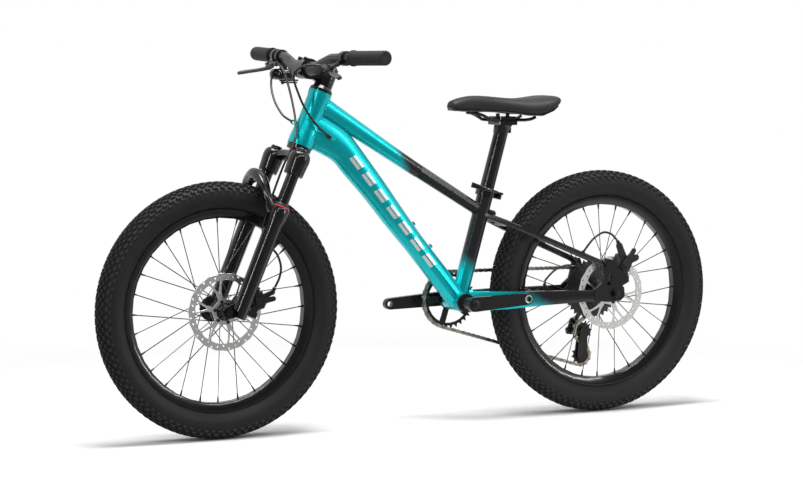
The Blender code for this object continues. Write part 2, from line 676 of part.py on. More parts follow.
def build_headset(ground, steering):
    """Make the two cups pressed into the head tube and the cover above them."""
    inner, skirt, lip = STEERER_RADIUS + 2 * TOUCH, HEAD_BORE_RADIUS - 0.0008, HEAD_TUBE_RADIUS + 0.0024
    low = turned([(inner, CROWN_SEAT + 0.0008), (lip - 0.002, CROWN_SEAT + 0.0008), (lip, HEAD_LOW - 0.008),
                  (lip, HEAD_LOW - TOUCH), (skirt, HEAD_LOW - TOUCH), (skirt, HEAD_LOW + 0.014),
                  (inner, HEAD_LOW + 0.014)], STEER, 16, True)
    finish(low, "headset_lower_cup", "black", ground)
    lip = HEAD_TUBE_RADIUS + 0.0006
    high = turned([(inner, HEAD_TOP - 0.012), (skirt, HEAD_TOP - 0.012), (skirt, HEAD_TOP + TOUCH),
                   (lip, HEAD_TOP + TOUCH), (lip, HEAD_TOP + 0.0035), (inner, HEAD_TOP + 0.0035)], STEER,
                  16, True)
    finish(high, "headset_upper_cup", "black", ground)
    cover = turned([(inner, HEAD_TOP + 0.0038), (lip, HEAD_TOP + 0.0038), (lip, HEAD_TOP + 0.0060),
                    (STEERER_RADIUS + 0.0042, HEAD_TOP + 0.0137), (inner, HEAD_TOP + 0.0137)], None, 16, True)
    finish(cover, "headset_top_cover", "black", steering)


def build_crown(steering):
    """Make the fork crown with its steerer, and the two stanchions held in it."""
    profile = [(0, CROWN_HIGH + 0.002), (0.0115, CROWN_HIGH + 0.002), (0.0115, CROWN_HIGH),
               (0.0160, CROWN_HIGH),
               (CROWN_SLEEVE_RADIUS, CROWN_HIGH - 0.012),
               (CROWN_SLEEVE_RADIUS, CROWN_LOW + 0.018), (0.0188, CROWN_LOW), (0, CROWN_LOW)]
    sleeves = [turned(profile, locate((LEG_OFFSET, side * LEG_SPREAD, 0)), 16) for side in (-1, 1)]
    stations = ((0.060, 0.018, 0.346, 0.022, 0.024), (0.034, 0.011, 0.352, 0.026, 0.022),
                (0.012, 0.002, 0.3545, 0.040, 0.0215))
    """Distance out, forward, height, depth and height of the crown's sections."""
    rows = [(-y, x, z, deep, high) for y, x, z, deep, high in stations]
    rows += [(y, x, z, deep, high) for y, x, z, deep, high in stations[::-1]]
    bridge = loft([blend_ring((x, y, z), (1, 0, 0), (0, 0, 1), deep, high, 8)
                   for y, x, z, deep, high in rows])
    steerer = rod((0, 0, CROWN_SEAT - 0.014), (0, 0, STEM_HEIGHT + 0.019), STEERER_RADIUS, sides=16)
    crown = fuse(bridge, *sleeves, steerer)
    bores = []
    for side in (-1, 1):
        foot = Vector((LEG_OFFSET, side * LEG_SPREAD, CROWN_LOW - 0.01))
        bores.append(rod(foot, foot + Vector((0, 0, CROWN_HIGH - 0.0035 - foot.z)),
                         STANCHION_RADIUS + TOUCH, sides=16))
    finish(cut(crown, *bores), "fork_crown", "satin", steering)
    for side, name in ((1, "stanchion_left"), (-1, "stanchion_right")):
        foot = Vector((LEG_OFFSET, side * LEG_SPREAD, STANCHION_FOOT))
        tip = Vector((LEG_OFFSET, side * LEG_SPREAD, CROWN_HIGH - 0.0038))
        finish(rod(foot, tip, STANCHION_RADIUS, sides=16), name, "black", steering)


def build_lowers(lowers):
    """Make the lower legs with their arch, dropouts and brake tabs as one casting."""
    profile = [(0, SEAL_HEIGHT), (0.0188, SEAL_HEIGHT), (0.0205, SEAL_HEIGHT - 0.004),
               (0.0205, SEAL_HEIGHT - 0.027),
               (LOWER_RADIUS + 0.0006, SEAL_HEIGHT - 0.038), (LOWER_RADIUS, 0.120), (0.0165, 0.010),
               (0.0150, -0.004), (0, -0.004)]
    legs = [turned(profile, locate((LEG_OFFSET, side * LEG_SPREAD, 0)), 16) for side in (-1, 1)]
    half = [(0.024, 0.0640, 0.221), (0.040, 0.0615, 0.232), (0.053, 0.0550, 0.250), (0.0625, 0.0400, 0.272),
            (ARCH_REACH, 0.0180, ARCH_RISE - 0.004), (ARCH_REACH + 0.001, 0.0, ARCH_RISE)]
    route = [(x, -y, z) for x, y, z in half] + [(x, y, z) for x, y, z in half[-2::-1]]
    wide = [0.015, 0.015, 0.016, 0.018, 0.022, 0.024]
    thick = [0.012, 0.010, 0.010, 0.010, 0.012, 0.013]
    arch = strap(route, wide + wide[-2::-1], thick + thick[-2::-1], (1, 0, 0), 8)
    pieces = [arch]
    turn = Matrix.Rotation(math.pi / 2, 4, "X")
    for side in (-1, 1):
        y = side * (FRONT_SPACING / 2 + TOUCH + FORK_DROPOUT / 2)
        outline = bar_outline((LEG_OFFSET, 0.016), (FORK_RAKE, 0), 0.0150, 0.0125)
        pieces.append(plate([outline], FORK_DROPOUT, locate((0, y, 0)) @ turn))
    for length, back, height in ((0.030, 0.0250, 0.0152), (0.018, 0.0160, 0.0657)):
        pieces.append(box((length, 0.0090, 0.012), (LEG_OFFSET - back, 0.0545, height)))
    casting = fuse(legs[0], legs[1], *pieces)
    bores = []
    for side in (-1, 1):
        foot = Vector((LEG_OFFSET, side * LEG_SPREAD, STANCHION_FOOT - 0.055))
        bores.append(rod(foot, foot + Vector((0, 0, SEAL_HEIGHT + 0.01 - foot.z)), STANCHION_RADIUS + TOUCH,
                         sides=16))
    eye = rod((FORK_RAKE, -FRONT_SPACING, 0), (FORK_RAKE, FRONT_SPACING, 0), 0.0049, sides=12)
    face = FRONT_SPACING / 2 + TOUCH + FORK_DROPOUT
    pockets = [rod((FORK_RAKE, side * face, 0), (FORK_RAKE, side * (face + 0.03), 0), 0.0116, sides=16)
               for side in (-1, 1)]
    finish(moved(cut(casting, *bores, eye, *pockets), locate((-FORK_RAKE, 0, 0))), "fork_lowers", "satin",
           lowers)


def axle(half_length, radius, nut_from, nut_radius, carrier_at, name):
    """Make an axle with a nut at each end."""
    bar = rod((0, -half_length, 0), (0, half_length, 0), radius, sides=10)
    nuts = []
    for side in (-1, 1):
        nuts.append(rod((0, side * nut_from, 0), (0, side * (nut_from + 0.0075), 0), nut_radius, sides=6))
        nuts.append(rod((0, side * nut_from, 0), (0, side * (nut_from + 0.0015), 0), nut_radius + 0.002,
                        sides=12))
    return finish(fuse(bar, *nuts), name, "steel", carrier_at)


def build_caliper(rotor_y, adapter_y, name, tabs, parent, frame_matrix, cable):
    """Make a brake caliper that straddles its rotor; its own frame has the axle as origin."""
    inner = rotor_y - CALIPER_INSIDE
    outer = rotor_y + 0.0150
    body = box((0.036, outer - inner, 0.040), (-0.0700, (inner + outer) / 2, 0), bevel=0.006)
    cap = rod((-0.0720, inner + 0.004, 0), (-0.0720, outer + 0.0020, 0), 0.0150, sides=12)
    ears = [bar_between((-0.0700, adapter_y, 0), (x, adapter_y, z), 0.013, 0.0055) for x, z in tabs]
    before, end = [frame_matrix.inverted() @ point for point in cable]
    along = (end - before).normalized()
    stop = rod(end + along * 3 * TOUCH, end + along * STOP_LENGTH, STOP_RADIUS, sides=8)
    root = end + along * STOP_LENGTH * 0.7
    bracket = bar_between(root, (-0.0800, root.y, 0.0040), 0.009, 0.006)
    body = fuse(body, cap, *ears, bracket, stop)
    slot = rod((0, rotor_y - 0.0016, 0), (0, rotor_y + 0.0016, 0), ROTOR_RADIUS + 0.002, sides=32)
    finish(moved(cut(body, slot), frame_matrix), name, "satin", parent)


def bar_between(start, end, wide, thick):
    """Make a flat bar with round ends in a plane of constant Y."""
    outline = bar_outline((start[0], start[2]), (end[0], end[2]), wide / 2, wide / 2 + 0.0005, 5)
    return side_plate([outline], thick, start[1])


def build_hub(name, half_left, half_right, flange_left, flange_right, rotor_y, parent):
    """Make a hub shell with the crossed spokes of its wheel."""
    bore, barrel, flange = 0.0056, 0.0150, 0.0265
    rotor_seat = 0.0170
    face = rotor_y - ROTOR_THICKNESS / 2 - TOUCH
    profile = [
        (bore, -half_right), (0.0095, -half_right), (flange, flange_right - 0.0018),
               (flange, flange_right + 0.0018),
        (barrel, flange_right + 0.004), (barrel, flange_left - 0.004), (flange, flange_left - 0.0018),
        (flange, flange_left + 0.0018), (0.0205, face), (rotor_seat, face), (rotor_seat, rotor_y + 0.0022),
        (0.0095, half_left), (bore, half_left)]
    shell = turned(profile, ACROSS, 14, True)
    spokes = bmesh.new()
    per_side = SPOKES // 2
    for flange_y, start in ((flange_left, 0.0), (flange_right, 0.5)):
        for index in range(per_side):
            lead = 1 if index % 2 else -1
            rim_turn = 2 * math.pi * (index + start) / per_side
            hub_turn = rim_turn + lead * math.radians(66)
            inside = flange_y + lead * 0.0024
            a = Vector((0.0225 * math.cos(hub_turn), inside, 0.0225 * math.sin(hub_turn)))
            reach = RIM_BED_RADIUS * math.cos(math.pi / WHEEL_SEGMENTS) - 0.0008
            b = Vector((reach * math.cos(rim_turn), flange_y * 0.10, reach * math.sin(rim_turn)))
            made = bmesh.ops.create_cone(spokes, cap_ends=True, segments=4, radius1=SPOKE_RADIUS,
                                         radius2=SPOKE_RADIUS, depth=(b - a).length)
            bmesh.ops.transform(spokes, matrix=aim(a, b), verts=made["verts"])
    finish(fuse(shell, mesh_piece(spokes)), name, "black", parent)


def build_rim(name, parent):
    """Turn a rim with a hooked well for the tyre."""
    half = RIM_WIDTH / 2
    side = [(RIM_BED_RADIUS, 0.0085), (0.2000, half), (RIM_RADIUS, half), (0.2008, 0.0115)]
    profile = [(r, -y) for r, y in side] + [(r, y) for r, y in side[::-1]]
    finish(turned(profile, ACROSS, WHEEL_SEGMENTS, True), name, "black", parent)


def build_tyre(name, parent):
    """Turn a tyre and raise its tread knobs in three staggered rows."""
    true = 1 / math.cos(math.pi / WHEEL_SEGMENTS)
    base = (TYRE_RADIUS - KNOB_HEIGHT) * true
    half = TYRE_WIDTH / 2 - 0.0003
    side = [(0.2020, 0.0104), (0.2090, 0.0118), (0.2330, half), (0.2510, 0.0275), (0.2588, 0.0170),
            (base, 0.0062)]
    profile = [(r, -y) for r, y in side] + [(r, y) for r, y in side[::-1]]
    turn = Matrix.Rotation(math.pi / WHEEL_SEGMENTS, 4, "Y") @ ACROSS
    tyre = turned(profile, turn, WHEEL_SEGMENTS, True)
    bm = bmesh.new()
    bm.from_mesh(tyre.data)
    bmesh.ops.recalc_face_normals(bm, faces=bm.faces[:])
    step = 2 * math.pi / WHEEL_SEGMENTS
    chosen = []
    for face in bm.faces:
        middle = face.calc_center_median()
        out = math.hypot(middle.x, middle.z)
        if out < 0.2500:
            continue
        count = round(math.atan2(middle.z, middle.x) / step)
        if abs(middle.y) < 0.004 and count % 2 == 0:
            chosen.append(face)
        elif abs(middle.y) > 0.020 and count % 2 == 1:
            chosen.append(face)
    made = bmesh.ops.extrude_discrete_faces(bm, faces=chosen)
    for face in made["faces"]:
        middle = face.calc_center_median()
        normal = face.normal.copy()
        height = KNOB_HEIGHT * (true if abs(middle.y) < 0.004 else 0.9)
        for vert in face.verts:
            vert.co = vert.co + (middle - vert.co) * 0.14 + normal * height
    data = tyre.data
    bm.to_mesh(data)
    bm.free()
    finish(tyre, name, "rubber", parent)


def build_rotor(name, y, parent):
    """Cut a brake rotor with six pairs of arms."""
    def at(radius, degrees):
        turn = math.radians(degrees)
        return (radius * math.cos(turn), radius * math.sin(turn))
    outlines = [circle((0, 0), ROTOR_RADIUS, 32), circle((0, 0), 0.0182, 12)]
    for index in range(6):
        start = 60 * index + 12
        outlines.append([at(0.0270, start + 10), at(0.0270, start + 30), at(0.0270, start + 50),
                         at(0.0620, start + 41), at(0.0635, start + 30), at(0.0620, start + 19)])
        outlines.append([at(0.0380, start), at(0.0620, start - 9), at(0.0620, start + 9)])
    finish(side_plate(outlines, ROTOR_THICKNESS, y), name, "steel", parent)


def pitch_radius(teeth):
    """Return the radius on which a sprocket carries the chain's pins."""
    return PITCH / (2 * math.sin(math.pi / teeth))


def sprocket_outline(teeth, phase, tip=0.0030, meshes=True):
    """Return a toothed outline whose gaps lie at the phase angle; one that meshes has wide gaps."""
    reach = pitch_radius(teeth)
    root = reach - PLATE_HEIGHT / 2 - 0.0004
    gap = math.atan2(0.0021, root)
    half = math.pi / teeth
    outline = []
    for index in range(teeth):
        turn = phase + 2 * math.pi * index / teeth
        corners = [(root, turn - gap), (root, turn + gap)] if meshes else [(root, turn)]
        for radius, angle in corners + [(reach + tip, turn + half)]:
            outline.append((radius * math.cos(angle), radius * math.sin(angle)))
    return outline


class ChainRoute:
    """The closed path of the chain's pins round chainring, sprocket and the two pulleys."""

    def __init__(self, tension):
        rear, front = REAR_AXLE, BRACKET
        guide = rear.x + GUIDE_PULLEY[0], rear.z + GUIDE_PULLEY[1]
        wheels = [((front.x, front.z), CHAINRING_TEETH, 1), ((rear.x, rear.z), CASSETTE_TEETH[GEAR_INDEX], 1),
                  (guide, PULLEY_TEETH, -1), (tension, PULLEY_TEETH, 1)]
        self.centres = [Vector(centre) for centre, teeth, sense in wheels]
        self.radii = [pitch_radius(teeth) for centre, teeth, sense in wheels]
        self.senses = [sense for centre, teeth, sense in wheels]
        self.runs = []
        for index in range(4):
            after = (index + 1) % 4
            gap = self.centres[after] - self.centres[index]
            offset = self.radii[after] * self.senses[after] - self.radii[index] * self.senses[index]
            length = math.sqrt(gap.length_squared - offset * offset)
            heading = math.atan2(gap.y, gap.x) - math.atan2(offset, length)
            left = Vector((-math.sin(heading), math.cos(heading)))
            start = self.centres[index] - left * self.radii[index] * self.senses[index]
            end = self.centres[after] - left * self.radii[after] * self.senses[after]
            self.runs.append((start, end, heading, length))
        self.parts = []
        for index in range(4):
            after = (index + 1) % 4
            start, end, heading, length = self.runs[index]
            self.parts.append(("run", index, length))
            sense = self.senses[after]
            sweep = (self.runs[after][2] - heading) * sense % (2 * math.pi)
            self.parts.append(("arc", after, sweep * self.radii[after]))
        self.length = sum(part[2] for part in self.parts)

    def at(self, distance):
        """Return the point at a distance along the path, and its Y."""
        distance %= self.length
        for kind, index, length in self.parts:
            if distance <= length:
                break
            distance -= length
        rear_y = CASSETTE_FIRST_Y - CASSETTE_STEP * GEAR_INDEX
        ys = (CHAINRING_Y, rear_y, rear_y, rear_y)
        if kind == "run":
            start, end, heading, length = self.runs[index]
            share = distance / length
            return start.lerp(end, share), ys[index] + (ys[(index + 1) % 4] - ys[index]) * share
        centre, radius, sense = self.centres[index], self.radii[index], self.senses[index]
        first = self.runs[index - 1][1] - centre
        turn = sense * distance / radius
        return centre + Matrix.Rotation(turn, 2) @ first, ys[index]

    def pins(self, count):
        """Lay pins one pitch apart in a straight line and return their distances."""
        marks = [0.0]
        for step in range(count):
            low, high = marks[-1], marks[-1] + PITCH * 1.1
            here = self.at(low)[0]
            for halving in range(40):
                middle = (low + high) / 2
                if (self.at(middle)[0] - here).length < PITCH:
                    low = middle
                else:
                    high = middle
            marks.append(high)
        return marks


def fitted_route():
    """Swing the cage until the chain closes on an even number of links."""
    guide = Vector((REAR_AXLE.x + GUIDE_PULLEY[0], REAR_AXLE.z + GUIDE_PULLEY[1]))

    def route_at(degrees):
        turn = math.radians(degrees)
        return ChainRoute(guide + Vector((math.cos(turn), math.sin(turn))) * CAGE_LENGTH)

    middle = route_at(CAGE_ANGLE)
    links = 2 * round(middle.length / PITCH / 2)

    def slack(degrees):
        route = route_at(degrees)
        return route.pins(links)[-1] - route.length

    low, high = CAGE_ANGLE - 25.0, CAGE_ANGLE + 25.0
    rising = slack(high) > slack(low)
    for halving in range(30):
        half = (low + high) / 2
        if (slack(half) > 0) == rising:
            high = half
        else:
            low = half
    return route_at(half), links


def build_chain(route, links, parent):
    """Skin the chain: two rows of plates, set wider on every second link, and a block at each pin."""
    marks = route.pins(links)[:-1]
    bm = bmesh.new()
    blocks = []
    for index, mark in enumerate(marks):
        block = []
        for lead in (-0.0016, 0.0016):
            point, y = route.at(mark + lead)
            ahead, unused = route.at(mark + lead + 0.0002)
            along = (ahead - point).normalized()
            outward = Vector((-along.y, along.x)) * PLATE_HEIGHT / 2
            wide = (index % 2 == 0) == (lead > 0)
            near = INNER_PLATE_Y + (0.0012 if wide else 0.0)
            section = []
            for side in (-1, 1):
                for spot, depth in ((point - outward, near + 0.0010), (point, near),
                                    (point + outward, near + 0.0010)):
                    section.append(bm.verts.new((spot.x, y + side * depth, spot.y)))
            block.append(section)
        blocks.append(block)
    for index, (back, front) in enumerate(blocks):
        after = blocks[(index + 1) % links][0]
        for low, middle, high in ((0, 1, 2), (3, 4, 5)):
            bm.faces.new((front[low], after[low], after[high], front[high]))
            bm.faces.new((front[low], after[low], after[middle], front[middle]))
            bm.faces.new((front[middle], after[middle], after[high], front[high]))
            bm.faces.new((back[low], front[low], front[high], back[high]))
        bm.faces.new((back[0], front[0], front[3], back[3]))
        bm.faces.new((back[2], front[2], front[5], back[5]))
        for end in (back, front):
            bm.faces.new((end[0], end[1], end[4], end[3]))
            bm.faces.new((end[1], end[2], end[5], end[4]))
    finish(mesh_piece(bm), "chain", "chain", parent)


def phase_of(route, marks, index):
    """Return the angle of a pin that lies on the given wheel of the route."""
    start = 0.0
    for kind, wheel, length in route.parts:
        if kind == "arc" and wheel == index:
            break
        start += length
    for mark in marks:
        if start + 0.0001 < mark < start + length - 0.0001:
            offset = route.at(mark)[0] - route.centres[index]
            return math.atan2(offset.y, offset.x)
    return 0.0



def build_drivetrain(ground, crank, cassette, route, links):
    """Make the crankset, the bearing cartridge, the cassette and the chain."""
    marks = route.pins(links)[:-1]
    bore = SPINDLE_RADIUS + 0.0005
    flange = SHELL_WIDTH / 2 + TOUCH
    snug = SHELL_BORE_RADIUS - 0.0004
    cartridge = turned([(bore, -flange - 0.004), (SHELL_RADIUS, -flange - 0.004), (SHELL_RADIUS, -flange),
                        (snug, -flange),
                        (snug, flange), (SHELL_RADIUS, flange), (SHELL_RADIUS, flange + 0.004),
                        (bore, flange + 0.004)],
                       locate(BRACKET) @ ACROSS, 16, True)
    finish(cartridge, "bottom_bracket_cartridge", "satin", ground)
    tip = CRANK_INNER_Y + CRANK_THICKNESS - 0.003
    finish(rod((0, -tip, 0), (0, tip, 0), SPINDLE_RADIUS, sides=16), "crank_spindle", "steel", crank)
    ring_y = CHAINRING_Y
    for side, name in ((1, "crank_arm_left"), (-1, "crank_arm_right")):
        turn = math.radians(CRANK_REST_ANGLE)
        eye = (-side * CRANK_LENGTH * math.cos(turn), side * CRANK_LENGTH * math.sin(turn))
        outline = bar_outline((0, 0), eye, 0.0155, 0.0120, 7)
        hole = circle(eye, 0.0062, 12)
        arm = side_plate([outline, hole], CRANK_THICKNESS, side * (CRANK_INNER_Y + CRANK_THICKNESS / 2))
        root = 0.046 if side > 0 else -ring_y - 0.003
        boss = rod((0, side * root, 0), (0, side * (CRANK_INNER_Y + 0.002), 0), 0.0135, sides=16)
        socket = rod((0, side * (root - 0.01), 0), (0, side * (tip + TOUCH), 0), SPINDLE_RADIUS + TOUCH,
                     sides=16)
        finish(cut(fuse(arm, boss), socket), name, "black", crank)
    windows = []
    for index in range(5):
        start = 72 * index + 8
        windows.append(arc((0, 0), 0.0505, start, start + 56, 5) + arc((0, 0), 0.0215, start + 46,
                                                                       start + 10, 3))
    outline = sprocket_outline(CHAINRING_TEETH, phase_of(route, marks, 0))
    ring = side_plate([outline, circle((0, 0), 0.0142, 16)] + windows, 0.0018, ring_y)
    finish(ring, "chainring", "black", crank)
    body = turned([(0.0078, -0.0290), (0.0160, -0.0290), (0.0160, -0.0652), (0.0078, -0.0652)], ACROSS, 8,
                  True)
    sprockets = []
    for index, teeth in enumerate(CASSETTE_TEETH):
        used = index == GEAR_INDEX
        phase = phase_of(route, marks, 1) if used else 0.07 * index
        disc = sprocket_outline(teeth, phase, meshes=used)
        sprockets.append(side_plate([disc, circle((0, 0), 0.0118, 4)], SPROCKET_THICKNESS,
                                    CASSETTE_FIRST_Y - CASSETTE_STEP * index))
    finish(fuse(body, *sprockets), "cassette", "satin", cassette)
    build_chain(route, links, ground)
    return marks


def build_derailleur(ground, carriers, route, marks):
    """Make the derailleur: bracket, link, knuckle, cage and two toothed pulleys."""
    hanger = Vector((REAR_AXLE.x - HANGER_BACK, -DROPOUT_Y - DROPOUT_THICKNESS, REAR_AXLE.z - HANGER_DROP))
    upper, lower, across = LINK_UPPER, LINK_LOWER, LINK_AXIS
    boss = rod(hanger + Vector((0, -TOUCH, 0)), hanger + Vector((0, -0.0150, 0)), 0.0088, sides=16)
    ear = upper + across * 0.0083
    ear_disc = rod(upper + across * 0.0056, upper + across * 0.0112, 0.0058, sides=14)
    arm = rod(Vector((hanger.x, ear.y, hanger.z - 0.002)), upper + across * 0.0100, 0.0046, sides=12)
    pin = rod(upper - across * 0.0050, upper + across * 0.0080, 0.0021, sides=10)
    finish(fuse(boss, ear_disc, arm, pin), "derailleur_bracket", "satin", ground)

    swing, knuckle, cage, guide, tension = carriers
    local = swing.matrix_world.inverted()
    span = lower - upper
    ends = [rod(upper - across * 0.0050, upper + across * 0.0050, 0.0056, sides=14),
            rod(lower - across * 0.0050, lower + across * 0.0050, 0.0056, sides=14)]
    body = strap([upper + span * 0.10, upper + span * 0.5, upper + span * 0.90], 0.0098, 0.0090,
                 span.cross(across), 8)
    link = fuse(ends[0], ends[1], body)
    holes = [rod(p - across * 0.02, p + across * 0.02, 0.0025, sides=12) for p in (upper, lower)]
    finish(moved(cut(link, *holes), local), "derailleur_link", "satin", swing)

    centre = Vector((REAR_AXLE.x + GUIDE_PULLEY[0], 0, REAR_AXLE.z + GUIDE_PULLEY[1]))
    gear_y = CASSETTE_FIRST_Y - CASSETTE_STEP * GEAR_INDEX
    plate_y = gear_y - 0.0064
    barrel = rod(centre + Vector((0, plate_y - 0.0014, 0)), centre + Vector((0, plate_y - 0.0120, 0)),
                 0.0120, sides=16)
    ear_disc = rod(lower + across * 0.0056, lower + across * 0.0120, 0.0058, sides=14)
    arm = rod(lower + across * 0.0106, centre + Vector((0.027, plate_y - 0.0080, 0.007)), 0.0038, sides=12)
    pin = rod(lower - across * 0.0050, lower + across * 0.0080, 0.0021, sides=10)
    outside = centre + Vector((0, plate_y - 0.0075, 0))
    housing = strap([outside, outside + Vector((0.018, -0.0005, 0.003)),
                     outside + Vector((0.034, 0.0005, 0))],
                    [0.022, 0.024, 0.014], [0.010, 0.012, 0.008], (0, 1, 0), 8)
    local = knuckle.matrix_world.inverted()
    finish(moved(fuse(barrel, ear_disc, arm, pin, housing), local), "derailleur_knuckle", "satin", knuckle)

    foot = Vector((route.centres[3].x, 0, route.centres[3].y))
    local = cage.matrix_world.inverted()
    shape = bar_outline((centre.x, centre.z), (foot.x, foot.z), 0.0095, 0.0115, 7)
    plates = [side_plate([shape], 0.0020, plate_y), side_plate([shape], 0.0016, gear_y + 0.0062)]
    pins = [rod(spot + Vector((0, plate_y, 0)), spot + Vector((0, gear_y + 0.0062, 0)), 0.0028, sides=10)
            for spot in (centre, foot)]
    finish(moved(fuse(plates[0], plates[1], *pins), local), "derailleur_cage", "satin", cage)
    for index, holder, name in ((2, guide, "guide_pulley"), (3, tension, "tension_pulley")):
        outline = sprocket_outline(PULLEY_TEETH, phase_of(route, marks, index), 0.0016)
        wheel = side_plate([outline, circle((0, 0), 0.0032, 12)], 0.0020, 0)
        finish(wheel, name, "plastic", holder)


def on_bar(y):
    """Return the handlebar's centre and direction at a distance out."""
    for start, end in zip(BAR_ROUTE, BAR_ROUTE[1:]):
        if start[1] <= y <= end[1]:
            start, end = Vector(start), Vector(end)
            return start.lerp(end, (y - start.y) / (end.y - start.y)), (end - start).normalized()
    raise ValueError("beyond the end of the bar")


def bar_ring(y, width, outer):
    """Make a clamp ring round the handlebar."""
    centre, along = on_bar(y)
    ring = turned(collar(BAR_GRIP_RADIUS + 2 * TOUCH, outer, -width / 2, width / 2), None, 14, True)
    turn = Vector((0, 0, 1)).rotation_difference(along).to_matrix().to_4x4()
    return moved(ring, locate(centre) @ turn)


def lever_point(u, v, w):
    """Return a point of the brake lever's plane in level axes."""
    out, forward, down = LEVER_AXES
    return LEVER_PIVOT + out * u + forward * v + down * w


def lever_frame():
    """Return the matrix that lays a drawing in the brake lever's plane."""
    out, forward, down = LEVER_AXES
    turn = Matrix((out, forward, down)).transposed().to_4x4()
    return locate(LEVER_PIVOT) @ turn


def ribbon(points, widths):
    """Return the outline of a flat band along points in a plane, with a round far end."""
    points = [Vector(p) for p in points]
    left, right = [], []
    for index, point in enumerate(points):
        before, after = points[max(index - 1, 0)], points[min(index + 1, len(points) - 1)]
        along = (after - before).normalized()
        out = Vector((-along.y, along.x)) * widths[index] / 2
        left.append(point + out)
        right.append(point - out)
    tip = points[-1] + (points[-1] - points[-2]).normalized() * widths[-1] * 0.35
    return [tuple(p) for p in right + [tip] + left[::-1]]


